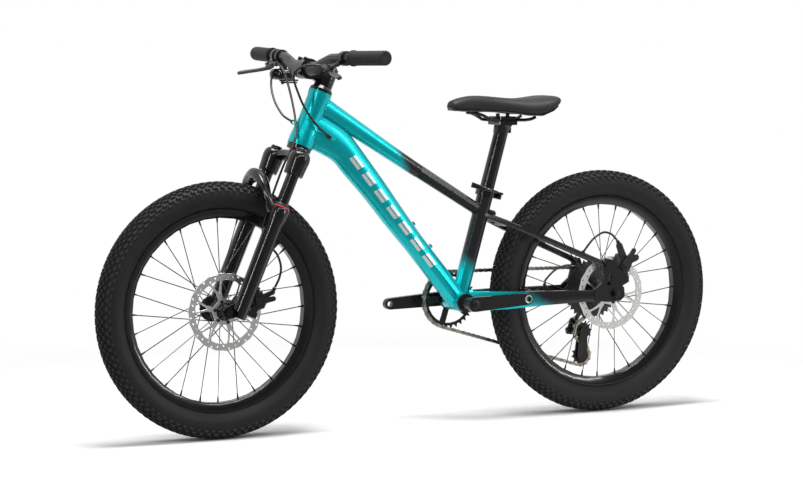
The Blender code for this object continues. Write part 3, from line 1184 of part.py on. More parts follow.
def build_cockpit(steering, levers, shifters):
    """Make stem, handlebar, grips, brake levers and shifter."""
    back = turned([(0, STEM_HEIGHT + 0.0265), (0.0150, STEM_HEIGHT + 0.0265), (0.0165, STEM_HEIGHT + 0.0235),
                   (0.0190, STEM_HEIGHT + 0.0225), (0.0195, STEM_HEIGHT + 0.0200),
                   (0.0195, HEAD_TOP + 0.0140),
                   (0, HEAD_TOP + 0.0140)], None, 16)
    middle = loft([blend_ring((x, 0, z), (0, 1, 0), (0, 0, 1), wide, high, 8) for x, z, wide, high in
                   ((0.006, STEM_HEIGHT, 0.030, 0.034), (0.030, STEM_HEIGHT, 0.030, 0.032),
                    (STEM_REACH - 0.002, STEM_HEIGHT, 0.036, 0.036))])
    clamp = rod((STEM_REACH, -0.021, STEM_HEIGHT), (STEM_REACH, 0.021, STEM_HEIGHT), 0.0215, sides=20)
    stem = fuse(back, middle, clamp)
    split = box((0.06, 0.08, 0.08), (STEM_REACH + 0.0308, 0, STEM_HEIGHT))
    bar_bore = rod((STEM_REACH, -0.05, STEM_HEIGHT), (STEM_REACH, 0.05, STEM_HEIGHT),
                   BAR_CLAMP_RADIUS + TOUCH, sides=24)
    top_bore = rod((0, 0, STEM_HEIGHT - 0.05), (0, 0, STEM_HEIGHT + 0.0193), STEERER_RADIUS + 2 * TOUCH,
                   sides=16)
    finish(cut(stem, split, bar_bore, top_bore), "stem", "black", steering)
    face = rod((STEM_REACH, -0.021, STEM_HEIGHT), (STEM_REACH, 0.021, STEM_HEIGHT), 0.0215, sides=20)
    bolts = []
    for y in (-0.0135, 0.0135):
        for z in (-0.0165, 0.0165):
            spot = Vector((STEM_REACH + 0.002, y, STEM_HEIGHT + z))
            bolts.append(rod(spot, spot + Vector((0.0135, 0, 0)), 0.0042, sides=6))
    face = fuse(face, *bolts)
    keep = box((0.06, 0.08, 0.08), (STEM_REACH + 0.0022 - 0.03, 0, STEM_HEIGHT))
    bar_bore = rod((STEM_REACH, -0.05, STEM_HEIGHT), (STEM_REACH, 0.05, STEM_HEIGHT),
                   BAR_CLAMP_RADIUS + TOUCH, sides=24)
    finish(cut(face, keep, bar_bore), "stem_faceplate", "black", steering)

    route = [(x, -y, z) for x, y, z in BAR_ROUTE[:0:-1]] + [tuple(p) for p in BAR_ROUTE]
    radii = list(BAR_RADII[:0:-1]) + list(BAR_RADII)
    bar = tube(route, BAR_CLAMP_RADIUS, radii, 3)
    finish(moved(bar, LEVEL), "handlebar", "black", steering)

    start, along = on_bar(BAR_HALF_WIDTH - GRIP_LENGTH)
    turn = Vector((0, 0, 1)).rotation_difference(along).to_matrix().to_4x4()
    bore, end = BAR_GRIP_RADIUS + 1.5 * TOUCH, GRIP_LENGTH
    grip = turned([(0, end - 0.0024), (bore, end - 0.0024), (bore, 0), (0.0166, 0), (0.0166, 0.004),
                   (GRIP_RADIUS, 0.0055), (GRIP_RADIUS, end - 0.002), (GRIP_RADIUS - 0.002, end), (0, end)],
                  locate(start) @ turn, 16)
    grip_right = mirrored(grip)
    finish(moved(grip, LEVEL), "grip_left", "rubber", steering)
    finish(moved(grip_right, LEVEL), "grip_right", "rubber", steering)

    ring = bar_ring(LEVER_CLAMP_Y, 0.013, CONTROL_RING_RADIUS)
    centre, along = on_bar(LEVER_CLAMP_Y)
    plane = lever_frame()
    shape = ribbon([(0.016, -0.008), (0.006, -0.005), (-0.004, -0.002), (-0.022, -0.004)],
                   [0.014, 0.018, 0.018, 0.011])
    top = plate([shape], 0.0065, plane @ locate((0, 0, -0.0068)))
    neck = rod(centre + Vector((0.0121, 0, -0.0084)), lever_point(0.012, -0.012, -0.0068), 0.0052, sides=8)
    barrel = rod(lever_point(-0.016, BARREL_FORWARD, BARREL_DOWN),
                 lever_point(BARREL_END, BARREL_FORWARD, BARREL_DOWN),
                 0.0046, sides=8)
    pin = rod(lever_point(0, 0, -0.0080), lever_point(0, 0, 0.0040), 0.0028, sides=8)
    body = fuse(ring, top, neck, barrel, pin)
    body_right = mirrored(body)
    finish(moved(body, LEVEL), "brake_body_left", "satin", steering)
    finish(moved(body_right, LEVEL), "brake_body_right", "satin", steering)
    blade = ribbon([(-0.006, -0.003), (0.008, 0.002), (0.022, 0.009), (0.040, 0.0145), (0.060, 0.0195),
                    (0.084, 0.0255),
                    (0.100, 0.0300)], [0.012, 0.013, 0.0095, 0.0080, 0.0080, 0.0095, 0.0090])
    lever = plate([blade, circle((0, 0), 0.0031, 12)], 0.0056, plane @ locate((0, 0, 0.0)))
    lever_right = mirrored(lever)
    offset = LEVER_PIVOT
    finish(moved(lever, locate(-offset)), "brake_lever_left", "satin", levers[0])
    mirror_offset = Vector((offset.x, -offset.y, offset.z))
    finish(moved(lever_right, locate(-mirror_offset)), "brake_lever_right", "satin", levers[1])

    ring = flipped(bar_ring(SHIFTER_CLAMP_Y, 0.011, CONTROL_RING_RADIUS))
    centre, along = on_bar(SHIFTER_CLAMP_Y)
    centre = Vector((centre.x, -centre.y, centre.z))
    pod = box((0.042, 0.046, 0.021), SHIFTER_CENTRE, bevel=0.006)
    neck = box((0.014, 0.011, 0.022), (centre.x - 0.004, centre.y, centre.z - 0.021), bevel=0.001)
    nozzle = rod(SHIFTER_CENTRE + Vector((0.016, 0.006, 0.002)),
                 SHIFTER_CENTRE + Vector((0.029, 0.0155, -0.0006)), 0.0046,
                 sides=8)
    pin = rod(SHIFTER_CENTRE, SHIFTER_CENTRE + Vector((0, 0, -0.0205)), 0.0029, sides=8)
    ring_bore = flipped(bar_cutter(SHIFTER_CLAMP_Y))
    body = cut(fuse(ring, pod, neck, nozzle, pin), ring_bore)
    finish(moved(body, LEVEL), "shifter_body", "satin", steering)
    thumb = ribbon([(0.004, 0.0), (-0.012, -0.004), (-0.028, -0.012), (-0.038, -0.019)],
                   [0.010, 0.011, 0.012, 0.016])
    finish(plate([thumb, circle((0, 0), 0.0033, 12)], 0.0036), "shift_thumb_lever", "plastic", shifters[0])
    release = ribbon([(0.004, 0.0), (-0.012, 0.006), (-0.024, 0.012)], [0.009, 0.010, 0.013])
    finish(plate([release, circle((0, 0), 0.0033, 12)], 0.0030), "shift_release_lever", "plastic",
           shifters[1])


def bar_cutter(y):
    """Make the cutter that keeps a clamp's bore clear."""
    centre, along = on_bar(y)
    return rod(centre - along * 0.02, centre + along * 0.02, BAR_GRIP_RADIUS + 2 * TOUCH, sides=14)


def build_seat(ground, seat, clamp_lever):
    """Make collar, quick-release lever, seat post, saddle clamp, rails, shell and cushion."""
    bore = SEAT_TUBE_RADIUS + 2 * TOUCH
    low, high = SEAT_TUBE_LENGTH - 0.011, SEAT_TUBE_LENGTH + 0.006
    ring = turned([(0, low), (bore + 0.0040, low), (bore + 0.0040, high - 0.001), (bore + 0.0030, high),
                   (0, high)], SEAT, 16)
    ears = box((0.022, 0.021, 0.013), (CLAMP_BOLT_X + 0.0025, 0, SEAT_TUBE_LENGTH - 0.0035), SEAT)
    body = fuse(ring, ears)
    well = rod(SEAT @ Vector((0, 0, low - 0.02)), SEAT @ Vector((0, 0, SEAT_TUBE_LENGTH + TOUCH)), bore,
               sides=16)
    throat = rod(SEAT @ Vector((0, 0, low)), SEAT @ Vector((0, 0, high + 0.01)), POST_RADIUS + TOUCH,
                 sides=16)
    slit = box((0.030, 0.0020, 0.030), (-0.030, 0, SEAT_TUBE_LENGTH - 0.003), SEAT)
    body = cut(body, well, throat, slit)
    bolt_z = SEAT_TUBE_LENGTH - 0.0035

    def spot(y, z=bolt_z):
        return SEAT @ Vector((CLAMP_BOLT_X, y, z))

    bolt = rod(spot(-0.015), spot(0.0185), 0.0032, sides=8)
    nut = rod(spot(-0.0100), spot(-0.0170), 0.0068, sides=12)
    pin = rod(spot(CLAMP_PIN_Y, bolt_z - 0.004), spot(CLAMP_PIN_Y, bolt_z + 0.0085), 0.0026, sides=8)
    finish(fuse(body, bolt, nut, pin), "seat_clamp_collar", "black", ground)

    cam = rod((0, 0, 0.0038), (0, 0, 0.0080), 0.0066, sides=16)
    blade = strap([(0.002, 0.003, 0.0058), (0.018, 0.0095, 0.0058), (0.038, 0.0125, 0.0055),
                   (0.058, 0.0125, 0.0055),
                   (0.078, 0.0100, 0.0060)], [0.0050, 0.0045, 0.0045, 0.0050, 0.0050],
                  [0.0040, 0.0065, 0.0075, 0.0100, 0.0120], (0, 0, 1), 8)
    hole = rod((0, 0, -0.01), (0, 0, 0.02), 0.0029, sides=12)
    finish(cut(fuse(cam, blade), hole), "seat_clamp_lever", "black", clamp_lever)

    inverse = SEAT.inverted()
    post = rod((0, 0, POST_FOOT), (0, 0, POST_HEAD), POST_RADIUS, sides=16)
    rail_z = 0.6432
    head_at = Vector((-0.2110, 0, rail_z))
    cradle = box((0.044, 0.054, 0.010), head_at + Vector((0, 0, -0.0055)), inverse, 0.0015)
    neck = strap([inverse @ Vector((-0.2035, 0, 0.612)), inverse @ Vector((-0.2090, 0, 0.628)),
                  inverse @ Vector((-0.2110, 0, 0.636))], [0.029, 0.036, 0.046], [0.029, 0.034, 0.040],
                 (1, 0, 0), 12, 0.85)
    bolts = []
    for forward in (-0.0165, 0.0165):
        spot = head_at + Vector((forward, 0, -0.026))
        bolts.append(rod(inverse @ spot, inverse @ (spot + Vector((0, 0, 0.022))), 0.0040, sides=8))
    grooves = rail_grooves(head_at, inverse)
    finish(cut(fuse(post, cradle, neck, *bolts), *grooves), "seatpost", "black", seat)
    upper = box((0.040, 0.054, 0.0070), head_at + Vector((0, 0, 0.0042)), inverse, 0.0015)
    heads = []
    for forward in (-0.0120, 0.0120):
        spot = head_at + Vector((forward, 0, 0.004))
        heads.append(rod(inverse @ spot, inverse @ (spot + Vector((0, 0, 0.0075))), 0.0045, sides=8))
    grooves = rail_grooves(head_at, inverse)
    finish(cut(fuse(upper, *heads), *grooves), "saddle_clamp_upper", "black", seat)

    half = [(-0.2740, 0.0320, 0.6495), (-0.2640, 0.0300, 0.6450), (-0.2520, 0.0260, rail_z),
            (-0.2400, RAIL_SPREAD, rail_z),
            (-0.1830, RAIL_SPREAD, rail_z), (-0.1720, 0.0210, 0.6445), (-0.1540, 0.0175, 0.6540),
            (-0.1400, 0.0140, 0.6590),
            (-0.1290, 0.0080, 0.6600), (-0.1250, 0.0, 0.6600)]
    route = [inverse @ Vector((x, -y, z)) for x, y, z in half] + [inverse @ Vector((x, y, z)) for x, y,
                                                                  z in half[-2::-1]]
    finish(tube(route, RAIL_RADIUS, resolution=2), "saddle_rails", "steel", seat)

    shell_rings, cushion_rings = [], []
    stations = smooth_rows(SADDLE_STATIONS, 2)
    for x, half_width, edge, top in stations:
        cushion_rings.append([inverse @ point for point in cushion_ring(x, half_width, edge, top)])
    for x, half_width, edge, top in SADDLE_STATIONS:
        shell_rings.append([inverse @ point for point in shell_ring(x, half_width, edge - 0.0006)])
    finish(loft(shell_rings), "saddle_shell", "plastic", seat)
    finish(loft(cushion_rings), "saddle_cushion", "saddle", seat)


def smooth_rows(rows, steps):
    """Return rows of numbers with smooth ones put between them."""
    ends = [rows[0]] + list(rows) + [rows[-1]]
    result = []
    for a, b, c, d in zip(ends, ends[1:], ends[2:], ends[3:]):
        for step in range(steps):
            t = step / steps
            result.append(tuple(0.5 * (2 * q + (r - p) * t + (2 * p - 5 * q + 4 * r - s) * t * t
                                       + (3 * q - p - 3 * r + s) * t ** 3) for p, q, r, s in zip(a, b, c, d)))
    return result + [tuple(rows[-1])]


def shell_ring(x, half_width, edge):
    """Return a ring of the saddle's stiff base: a shallow tray that follows the cushion's edge."""
    rise = 0.0040 + half_width * 0.10
    outline = [(1.00, 0.0), (0.97, 0.0030), (0.60, rise * 0.75), (0.0, rise), (-0.60, rise * 0.75),
               (-0.97, 0.0030),
               (-1.00, 0.0), (-0.90, -0.0006), (-0.55, rise * 0.75 - 0.0028), (0.0, rise - 0.0028),
               (0.55, rise * 0.75 - 0.0028), (0.90, -0.0006)]
    return [Vector((x, share * half_width, edge + up)) for share, up in outline]


def cushion_ring(x, half_width, edge, top):
    """Return a ring of the padded top: crowned above, and hollow below where the base lies."""
    rise = 0.0040 + half_width * 0.10
    gap = 0.0004
    upper = []
    for step in range(8):
        turn = math.pi * step / 7
        side = math.copysign(abs(math.cos(turn)) ** 0.75, math.cos(turn))
        upper.append((side, 0.0022 + (top - edge - 0.0022) * math.sin(turn) ** 0.62))
    lower = [(-0.97, 0.0030 + gap), (-0.60, rise * 0.75 + gap), (0.0, rise + gap), (0.60, rise * 0.75 + gap),
             (0.97, 0.0030 + gap)]
    points = [(1.02, 0.0036 + gap)] + upper[1:-1] + [(-1.02, 0.0036 + gap)] + lower
    return [Vector((x, share * half_width, edge + up)) for share, up in points]


def rail_grooves(head_at, matrix):
    """Make the two cutters that let the rails lie in their clamp."""
    grooves = []
    for side in (-1, 1):
        spot = head_at + Vector((0, side * RAIL_SPREAD, 0))
        grooves.append(rod(matrix @ (spot - Vector((0.05, 0, 0))), matrix @ (spot + Vector((0.05, 0, 0))),
                           RAIL_RADIUS + 0.0004, sides=12))
    return grooves


def build_cables(ground, steering):
    """Lay the five stretches of cable housing that are seen."""
    ends = (BARREL_END, BARREL_END - 0.007)
    mouth = [LEVEL @ lever_point(out - 3 * TOUCH, BARREL_FORWARD, BARREL_DOWN) for out in ends]
    rear = mouth + hung(REAR_BRAKE_CABLE)
    finish(tube(smooth_route(rear, 2), CABLE_RADIUS, resolution=1), "rear_brake_cable_front", "cable",
           steering)
    shift = hung(SHIFT_CABLE)
    finish(tube(smooth_route(shift, 2), CABLE_RADIUS, resolution=1), "shift_cable_front", "cable", steering)
    front = [Vector((point.x, -point.y, point.z)) for point in mouth] + hung(FRONT_BRAKE_CABLE)
    finish(tube(front, CABLE_RADIUS, resolution=1), "front_brake_cable", "cable", steering)
    brake_tail, shift_tail = from_axle(REAR_BRAKE_TAIL), from_axle(SHIFT_TAIL)
    finish(tube(smooth_route(brake_tail, 2), CABLE_RADIUS, resolution=1), "rear_brake_cable_rear", "cable",
           ground)
    finish(tube(smooth_route(shift_tail, 2), CABLE_RADIUS, resolution=1), "shift_cable_rear", "cable", ground)


def build_brakes(ground, lowers, front_arm, rear_arm):
    """Make both calipers and their swinging arms."""
    front = caliper_turn(FRONT_CALIPER_ANGLE)
    cable = [locate((-FORK_RAKE, 0, 0)) @ Vector(point) for point in FRONT_BRAKE_CABLE[-2:]]
    build_caliper(FRONT_ROTOR_Y, 0.0468, "front_caliper", ((-0.070, 0.027), (-0.052, -0.022)), lowers,
                  front, cable)
    rear = locate(REAR_AXLE) @ caliper_turn(REAR_CALIPER_ANGLE)
    tabs = ((-0.1000, 0.0290), (-0.0920, -0.0210), (-0.0480, -0.0100))
    cable = from_axle(REAR_BRAKE_TAIL[-2:])
    build_caliper(REAR_ROTOR_Y, 0.0644, "rear_caliper", tabs, ground, rear, cable)
    for rotor_y, name, holder, turn in ((FRONT_ROTOR_Y, "front_caliper_arm", front_arm, front),
                                        (REAR_ROTOR_Y, "rear_caliper_arm", rear_arm, rear)):
        shape = ribbon([(0.008, 0.002), (-0.006, -0.001), (-0.020, -0.004), (-0.033, -0.006)],
                       [0.017, 0.018, 0.011, 0.010])
        arm = side_plate([shape], 0.0035, rotor_y + 0.0150 + 0.0020 + 0.0021)
        spin = turn.to_3x3().to_4x4()
        finish(moved(arm, spin @ locate((0, -rotor_y, 0))), name, "satin", holder)


def caliper_turn(degrees):
    """Return the turn that lifts a caliper drawn behind the axle by an angle."""
    return Matrix.Rotation(math.radians(degrees), 4, "Y")


def main():
    """Model the bike."""
    start_scene()
    ground = carrier("ground", Matrix.Identity(4))
    steering = carrier("steering", STEER)
    lowers = carrier("lowers", locate((FORK_RAKE, 0, 0)), steering)
    front_wheel = carrier("front_wheel", Matrix.Rotation(LEAN, 4, "Y"), lowers)
    rear_wheel = carrier("rear_wheel", locate(REAR_AXLE))
    cassette = carrier("cassette_carrier", locate(REAR_AXLE))
    crank = carrier("crank", locate(BRACKET))
    seat = carrier("seat", SEAT)
    clamp_lever = carrier("clamp_lever_carrier", SEAT @ locate((CLAMP_BOLT_X, CLAMP_PIN_Y,
                                                                SEAT_TUBE_LENGTH - 0.0035)))
    finish(build_frame(), "frame", "paint", ground)
    build_headset(ground, steering)
    build_crown(steering)
    build_lowers(lowers)

    pivot = LEVER_PIVOT
    levers = [carrier("lever_left_carrier", LEVEL @ locate(pivot), steering),
              carrier("lever_right_carrier", LEVEL @ locate((pivot.x, -pivot.y, pivot.z)), steering)]
    shifters = [carrier("thumb_carrier", LEVEL @ locate(SHIFTER_CENTRE + Vector((0, 0, -0.0128))), steering),
                carrier("release_carrier", LEVEL @ locate(SHIFTER_CENTRE + Vector((0, 0, -0.0167))),
                        steering)]
    build_cockpit(steering, levers, shifters)

    build_rim("front_rim", front_wheel)
    build_rim("rear_rim", rear_wheel)
    build_tyre("front_tyre", front_wheel)
    build_tyre("rear_tyre", rear_wheel)
    half = FRONT_SPACING / 2 - TOUCH
    build_hub("front_hub_spokes", half, half, 0.022, -0.035, FRONT_ROTOR_Y, front_wheel)
    build_hub("rear_hub_spokes", DROPOUT_Y - TOUCH, 0.0285, 0.033, -0.020, REAR_ROTOR_Y, rear_wheel)
    build_rotor("front_rotor", FRONT_ROTOR_Y, front_wheel)
    build_rotor("rear_rotor", REAR_ROTOR_Y, rear_wheel)
    nut = FRONT_SPACING / 2 + FORK_DROPOUT + 2 * TOUCH
    axle(nut + 0.0064, 0.0045, nut, 0.0085, lowers, "front_axle")
    rear_axle_carrier = carrier("rear_axle_carrier", locate(REAR_AXLE), ground)
    nut = DROPOUT_Y + DROPOUT_THICKNESS + TOUCH
    axle(nut + 0.0102, 0.0048, nut, 0.0090, rear_axle_carrier, "rear_axle")

    route, links = fitted_route()
    marks = build_drivetrain(ground, crank, cassette, route, links)
    gear_y = CASSETTE_FIRST_Y - CASSETTE_STEP * GEAR_INDEX
    swing = carrier("swing", locate(LINK_UPPER))
    knuckle = carrier("knuckle", locate(LINK_LOWER - LINK_UPPER), swing)
    centre = Vector((route.centres[2].x, gear_y, route.centres[2].y))
    foot = Vector((route.centres[3].x, gear_y, route.centres[3].y))
    cage = carrier("cage", locate(centre - LINK_LOWER), knuckle)
    guide = carrier("guide", Matrix.Identity(4), cage)
    tension = carrier("tension", locate(foot - centre), cage)
    bpy.context.view_layer.update()
    build_derailleur(ground, (swing, knuckle, cage, guide, tension), route, marks)

    front = caliper_turn(FRONT_CALIPER_ANGLE)
    rear = caliper_turn(REAR_CALIPER_ANGLE)
    front_arm = carrier("front_arm", locate(front @ Vector((-0.0720, FRONT_ROTOR_Y, 0))), lowers)
    rear_arm = carrier("rear_arm", locate(REAR_AXLE + rear @ Vector((-0.0720, REAR_ROTOR_Y, 0))))
    build_brakes(ground, lowers, front_arm, rear_arm)
    build_seat(ground, seat, clamp_lever)
    build_cables(ground, steering)


if __name__ == "__main__":
    main()
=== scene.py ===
"""Dress the kids mountain bike: finishes, tread, rotors, saddle cover, cables, fasteners and the studio."""

import math
from functools import partial

import bmesh
import bpy
from mathutils import Matrix, Vector


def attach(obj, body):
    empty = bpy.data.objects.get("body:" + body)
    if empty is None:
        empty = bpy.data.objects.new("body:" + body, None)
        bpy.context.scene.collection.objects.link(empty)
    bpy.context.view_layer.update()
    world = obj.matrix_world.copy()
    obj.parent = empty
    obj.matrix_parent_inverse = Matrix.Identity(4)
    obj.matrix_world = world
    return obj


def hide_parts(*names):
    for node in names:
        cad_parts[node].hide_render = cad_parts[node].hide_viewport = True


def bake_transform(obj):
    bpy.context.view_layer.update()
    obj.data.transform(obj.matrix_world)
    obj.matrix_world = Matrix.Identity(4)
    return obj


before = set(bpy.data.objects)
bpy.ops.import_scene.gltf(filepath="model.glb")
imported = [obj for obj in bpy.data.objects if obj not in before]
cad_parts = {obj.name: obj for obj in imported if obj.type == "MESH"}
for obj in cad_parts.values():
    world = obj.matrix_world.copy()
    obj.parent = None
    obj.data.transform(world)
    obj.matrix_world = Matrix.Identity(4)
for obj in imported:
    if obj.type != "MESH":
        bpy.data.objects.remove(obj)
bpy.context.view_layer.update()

bl_info = {
    "name": "Kids mountain bike",
    "version": (1, 0, 0),
    "blender": (4, 5, 0),
    "location": "3D View > Sidebar > Bike",
    "description": "Finishes and detailed pieces for a kids mountain bike",
    "category": "Object",
}

FORWARD, LEFT, UP = Vector((1, 0, 0)), Vector((0, 1, 0)), Vector((0, 0, 1))

# Places taken from the bike's own drawing, in metres
FRONT_AXLE = Vector((0.452, 0, 0.265))
REAR_AXLE = Vector((-0.452, 0, 0.265))
BRACKET = Vector((-0.104, 0, 0.257))
RAKE = 0.038
LEAN = math.radians(23.3)
SEAT_LEAN = math.radians(16)
BAR_HEIGHT = 0.53
# Each fork leg's place ahead of the steerer and out from the middle
LEG_AHEAD, LEG_OUT = 0.019, 0.064
STEER = Matrix.Translation(FRONT_AXLE) @ Matrix.Rotation(-LEAN, 4, "Y") @ Matrix.Translation((-RAKE, 0, 0))
STEER_FORWARD = STEER.to_3x3() @ FORWARD
STEER_UP = STEER.to_3x3() @ UP
SEAT = Matrix.Translation(BRACKET) @ Matrix.Rotation(-SEAT_LEAN, 4, "Y")
SEAT_TUBE_RADIUS = 0.0175
LEVEL = Matrix.Translation((0.05, 0, BAR_HEIGHT)) @ Matrix.Rotation(LEAN, 4, "Y")
BAR = STEER @ LEVEL
WHEELS = {"front": Matrix.Translation(FRONT_AXLE), "rear": Matrix.Translation(REAR_AXLE)}
# Each rotor's distance to the left of the bike's middle
ROTOR_OUT = {"front": 0.0345, "rear": 0.0522}
# Each hub's left and right flange, and how many spokes the valve stands from the first one
FLANGES = {"front": (0.022, -0.035, 10), "rear": (0.033, -0.02, -1)}
SPOKES = 28
CABLE_RADIUS = 0.0024
# The crank's length, its turn from level, and its face's distance from the bike's middle
CRANK_LENGTH = 0.13
CRANK_TURN = math.radians(2.7)
CRANK_FACE = 0.0775
# The turn that lays the Z axis along a wheel's axle
ACROSS = Matrix.Rotation(-math.pi / 2, 4, "X")
# The left lever's pivot in the bar's axes, and the two headings in which its blade lies
LEVER_PIVOT = Vector((0.0146, 0.15, -0.0006))
LEVER_DROP = math.radians(25)
LEVER_FORWARD = Vector((math.cos(LEVER_DROP), 0, -math.sin(LEVER_DROP)))
LEVER_DOWN = Vector((-math.sin(LEVER_DROP), 0, -math.cos(LEVER_DROP)))

# The camera: its place, its turns about Z, X and Z, and its focal length over the frame's width
CAMERA = Vector((2.601, 5.0793, 0.8742))
CAMERA_TURNS = (math.pi - 0.4683, math.pi / 2 - 0.0857, 0.0012)
FOCAL_SHARE = 2705.6 / 803
SENSOR = 36.0
# Heading from the bike to the camera's side of the room
NEAR_SIDE = Vector((CAMERA.x, CAMERA.y, 0.4)).normalized()
LAMPS = (
    # name, place, what it aims at, size, and the setting with its strength
    ("overhead", (0.1, 0.2, 2.6), (0, 0, 0.2), (1.6, 1.1), "key"),
    ("long_strip", (0.2, 2.0, 2.1), (0, 0, 0.4), (3.0, 0.09), "strip"),
    ("left_strip", (2.8, 1.6, 1.3), (0, 0, 0.4), (0.09, 2.0), "fill"),
    ("right_strip", (-2.4, 2.2, 1.3), (0, 0, 0.4), (0.08, 2.0), "fill"))

# Cable routes in the steerer's axes, as the drawing has them
REAR_BRAKE_FRONT = (
    (0.0775, 0.094, 0.529), (0.0941, 0.078, 0.517), (0.0953, 0.06, 0.4958), (0.0639, 0.045, 0.4685),
    (0.0308, 0.037, 0.4452), (-0.0096, 0.033, 0.4255), (-0.0445, 0.027, 0.4177))
SHIFT_FRONT = (
    (0.0576, -0.133, 0.5082), (0.063, -0.118, 0.4955), (0.0642, -0.096, 0.4754), (0.0596, -0.072, 0.4534),
    (0.0525, -0.05, 0.4369), (0.0442, -0.03, 0.4252), (0.0277, -0.015, 0.4198))
FRONT_BRAKE = (
    (0.059, -0.089, 0.522), (0.047, -0.065, 0.495), (0.036, -0.035, 0.46), (0.0295, -0.001, 0.423),
    (0.029, 0.028, 0.388), (0.0332, 0.04, 0.3532), (0.0375, 0.0435, 0.3232), (0.037, 0.044, 0.2684),
    (0.0345, 0.0442, 0.2213), (0.029, 0.043, 0.185), (0.018, 0.0415, 0.169), (0.003, 0.042, 0.16),
    (-0.02, 0.045, 0.149), (-0.037, 0.047, 0.129), (-0.043, 0.0465, 0.107), (-0.0415, 0.0465, 0.085))
# Cable routes measured from the rear axle
REAR_BRAKE_TAIL = (
    (0.072, 0.06, 0.094), (0.065, 0.0605, 0.103), (0.049, 0.061, 0.12), (0.026, 0.061, 0.1325),
    (0.007, 0.063, 0.1295), (-0.006, 0.0642, 0.1175), (-0.009, 0.0642, 0.1135))
SHIFT_TAIL = (
    (0.0943, -0.0707, 0.0115), (0.0883, -0.0767, 0.0205), (0.057, -0.086, 0.041), (0.017, -0.093, 0.048),
    (-0.026, -0.093, 0.03), (-0.051, -0.09, -0.005), (-0.049, -0.086, -0.035), (-0.034, -0.083, -0.053))

# Distance along, half width, height of the lower edge and height of the top of the saddle
SADDLE_STATIONS = (
    (-0.083, 0.01, 0.669, 0.678), (-0.086, 0.017, 0.666, 0.685), (-0.105, 0.0195, 0.664, 0.6915),
    (-0.13, 0.0205, 0.663, 0.6955), (-0.16, 0.0235, 0.6625, 0.6955), (-0.19, 0.03, 0.661, 0.693),
    (-0.22, 0.041, 0.658, 0.6905), (-0.248, 0.054, 0.654, 0.6895), (-0.275, 0.064, 0.6545, 0.6915),
    (-0.3, 0.0672, 0.665, 0.694), (-0.315, 0.0635, 0.6745, 0.6945), (-0.3235, 0.054, 0.6812, 0.694),
    (-0.3262, 0.044, 0.6848, 0.6918))
# Half of the tyre's section, as radius and distance from the middle plane, and the hidden seat of its beads
TYRE_SECTION = (
    (0.2022, 0.01), (0.206, 0.0112), (0.2098, 0.014), (0.2112, 0.0176), (0.2128, 0.019), (0.219, 0.0246),
    (0.226, 0.0287), (0.233, 0.0301), (0.24, 0.0301), (0.246, 0.0288), (0.2502, 0.0264), (0.2548, 0.022),
    (0.2578, 0.016), (0.2595, 0.0085), (0.26, 0.0))
BEAD_SEAT = [(0.204, 0.0092), (0.204, -0.0092)]
KNOB_ROWS = (
    # place on the section, width, length, share of the height, shift round the tyre, and how much longer
    # every second knob is
    (0.048, 0.0054, 0.0098, 1.0, 0.0, 1.0), (0.14, 0.005, 0.0084, 0.92, 0.5, 1.0),
    (0.225, 0.0052, 0.0088, 0.92, 0.05, 1.0), (0.315, 0.0056, 0.0086, 1.0, 0.52, 1.25),
    (0.392, 0.0046, 0.007, 0.62, 0.02, 1.25))
# Outlines of a rotor's windows, as radius and degrees from the foot of an arm
WIDE_WINDOW = (
    (0.0272, 10), (0.0262, 20), (0.0262, 40), (0.0272, 50), (0.042, 52), (0.056, 49), (0.064, 46.5),
    (0.0655, 42), (0.066, 30), (0.0655, 18), (0.064, 13.5), (0.056, 11), (0.042, 8))
SMALL_WINDOW = (
    (0.039, 0), (0.056, -7.5), (0.064, -9.8), (0.0655, -6), (0.0658, 0), (0.0655, 6), (0.064, 9.8),
    (0.056, 7.5))
# Degrees from straight ahead to the foot of a rotor's first arm
FIRST_ARM = 12

# Profiles that are turned round a line, as radius and height along it
NIPPLE = ((0.0021, 0), (0.0021, 0.005), (0.0017, 0.0062), (0.0014, 0.011), (0.001, 0.0114))
VALVE = ((0.0046, 0), (0.0046, 0.0016), (0.004, 0.002), (0.0038, 0.018), (0.0042, 0.0184), (0.0042, 0.027),
         (0.0034, 0.0286))
SEAL = (
    (0.0131, 0.2383), (0.0178, 0.2383), (0.0182, 0.239), (0.0182, 0.24), (0.0176, 0.2407), (0.0131, 0.2407))
WIPER = (
    (0.0131, 0.2409), (0.0172, 0.2409), (0.0168, 0.2438), (0.015, 0.245), (0.0142, 0.2466), (0.0131, 0.2472))
CAP = (
    (0.0108, 0.3602), (0.0124, 0.3603), (0.0126, 0.3615), (0.012, 0.3655), (0.0108, 0.3668), (0.005, 0.3672),
    (0.0046, 0.3662))
SHOULDER = (
    (0.0131, 0.3084), (0.019, 0.3085), (0.0203, 0.3105), (0.0208, 0.318), (0.0213, 0.327), (0.0222, 0.336),
    (0.0225, 0.343), (0.0219, 0.3495), (0.0202, 0.3548), (0.017, 0.3588), (0.0128, 0.3604), (0.0118, 0.3603))
PEDAL_EYE = ((0.0063, -0.0118), (0.0067, -0.0118), (0.0067, 0.0001), (0.0092, 0.0001), (0.0092, 0.0004),
             (0.0071, 0.0006), (0.0063, 0.0002))
CRANK_WASHER = ((0.0098, 0), (0.0098, 0.0006), (0.009, 0.0011), (0.0066, 0.0012), (0.006, 0.0006))
GROMMET = ((0.0026, 0), (0.0046, 0), (0.0048, 0.0016), (0.004, 0.004), (0.0026, 0.0052))
BOLT_LEVELS = (
    # share of the radius, share of the height, and whether the ring belongs to the six-sided socket
    (0.96, 0.0, False), (1.0, 0.12, False), (1.0, 0.62, False), (0.93, 0.88, False), (0.8, 1.0, False),
    (1.0, 1.0, True), (0.97, 0.35, True))
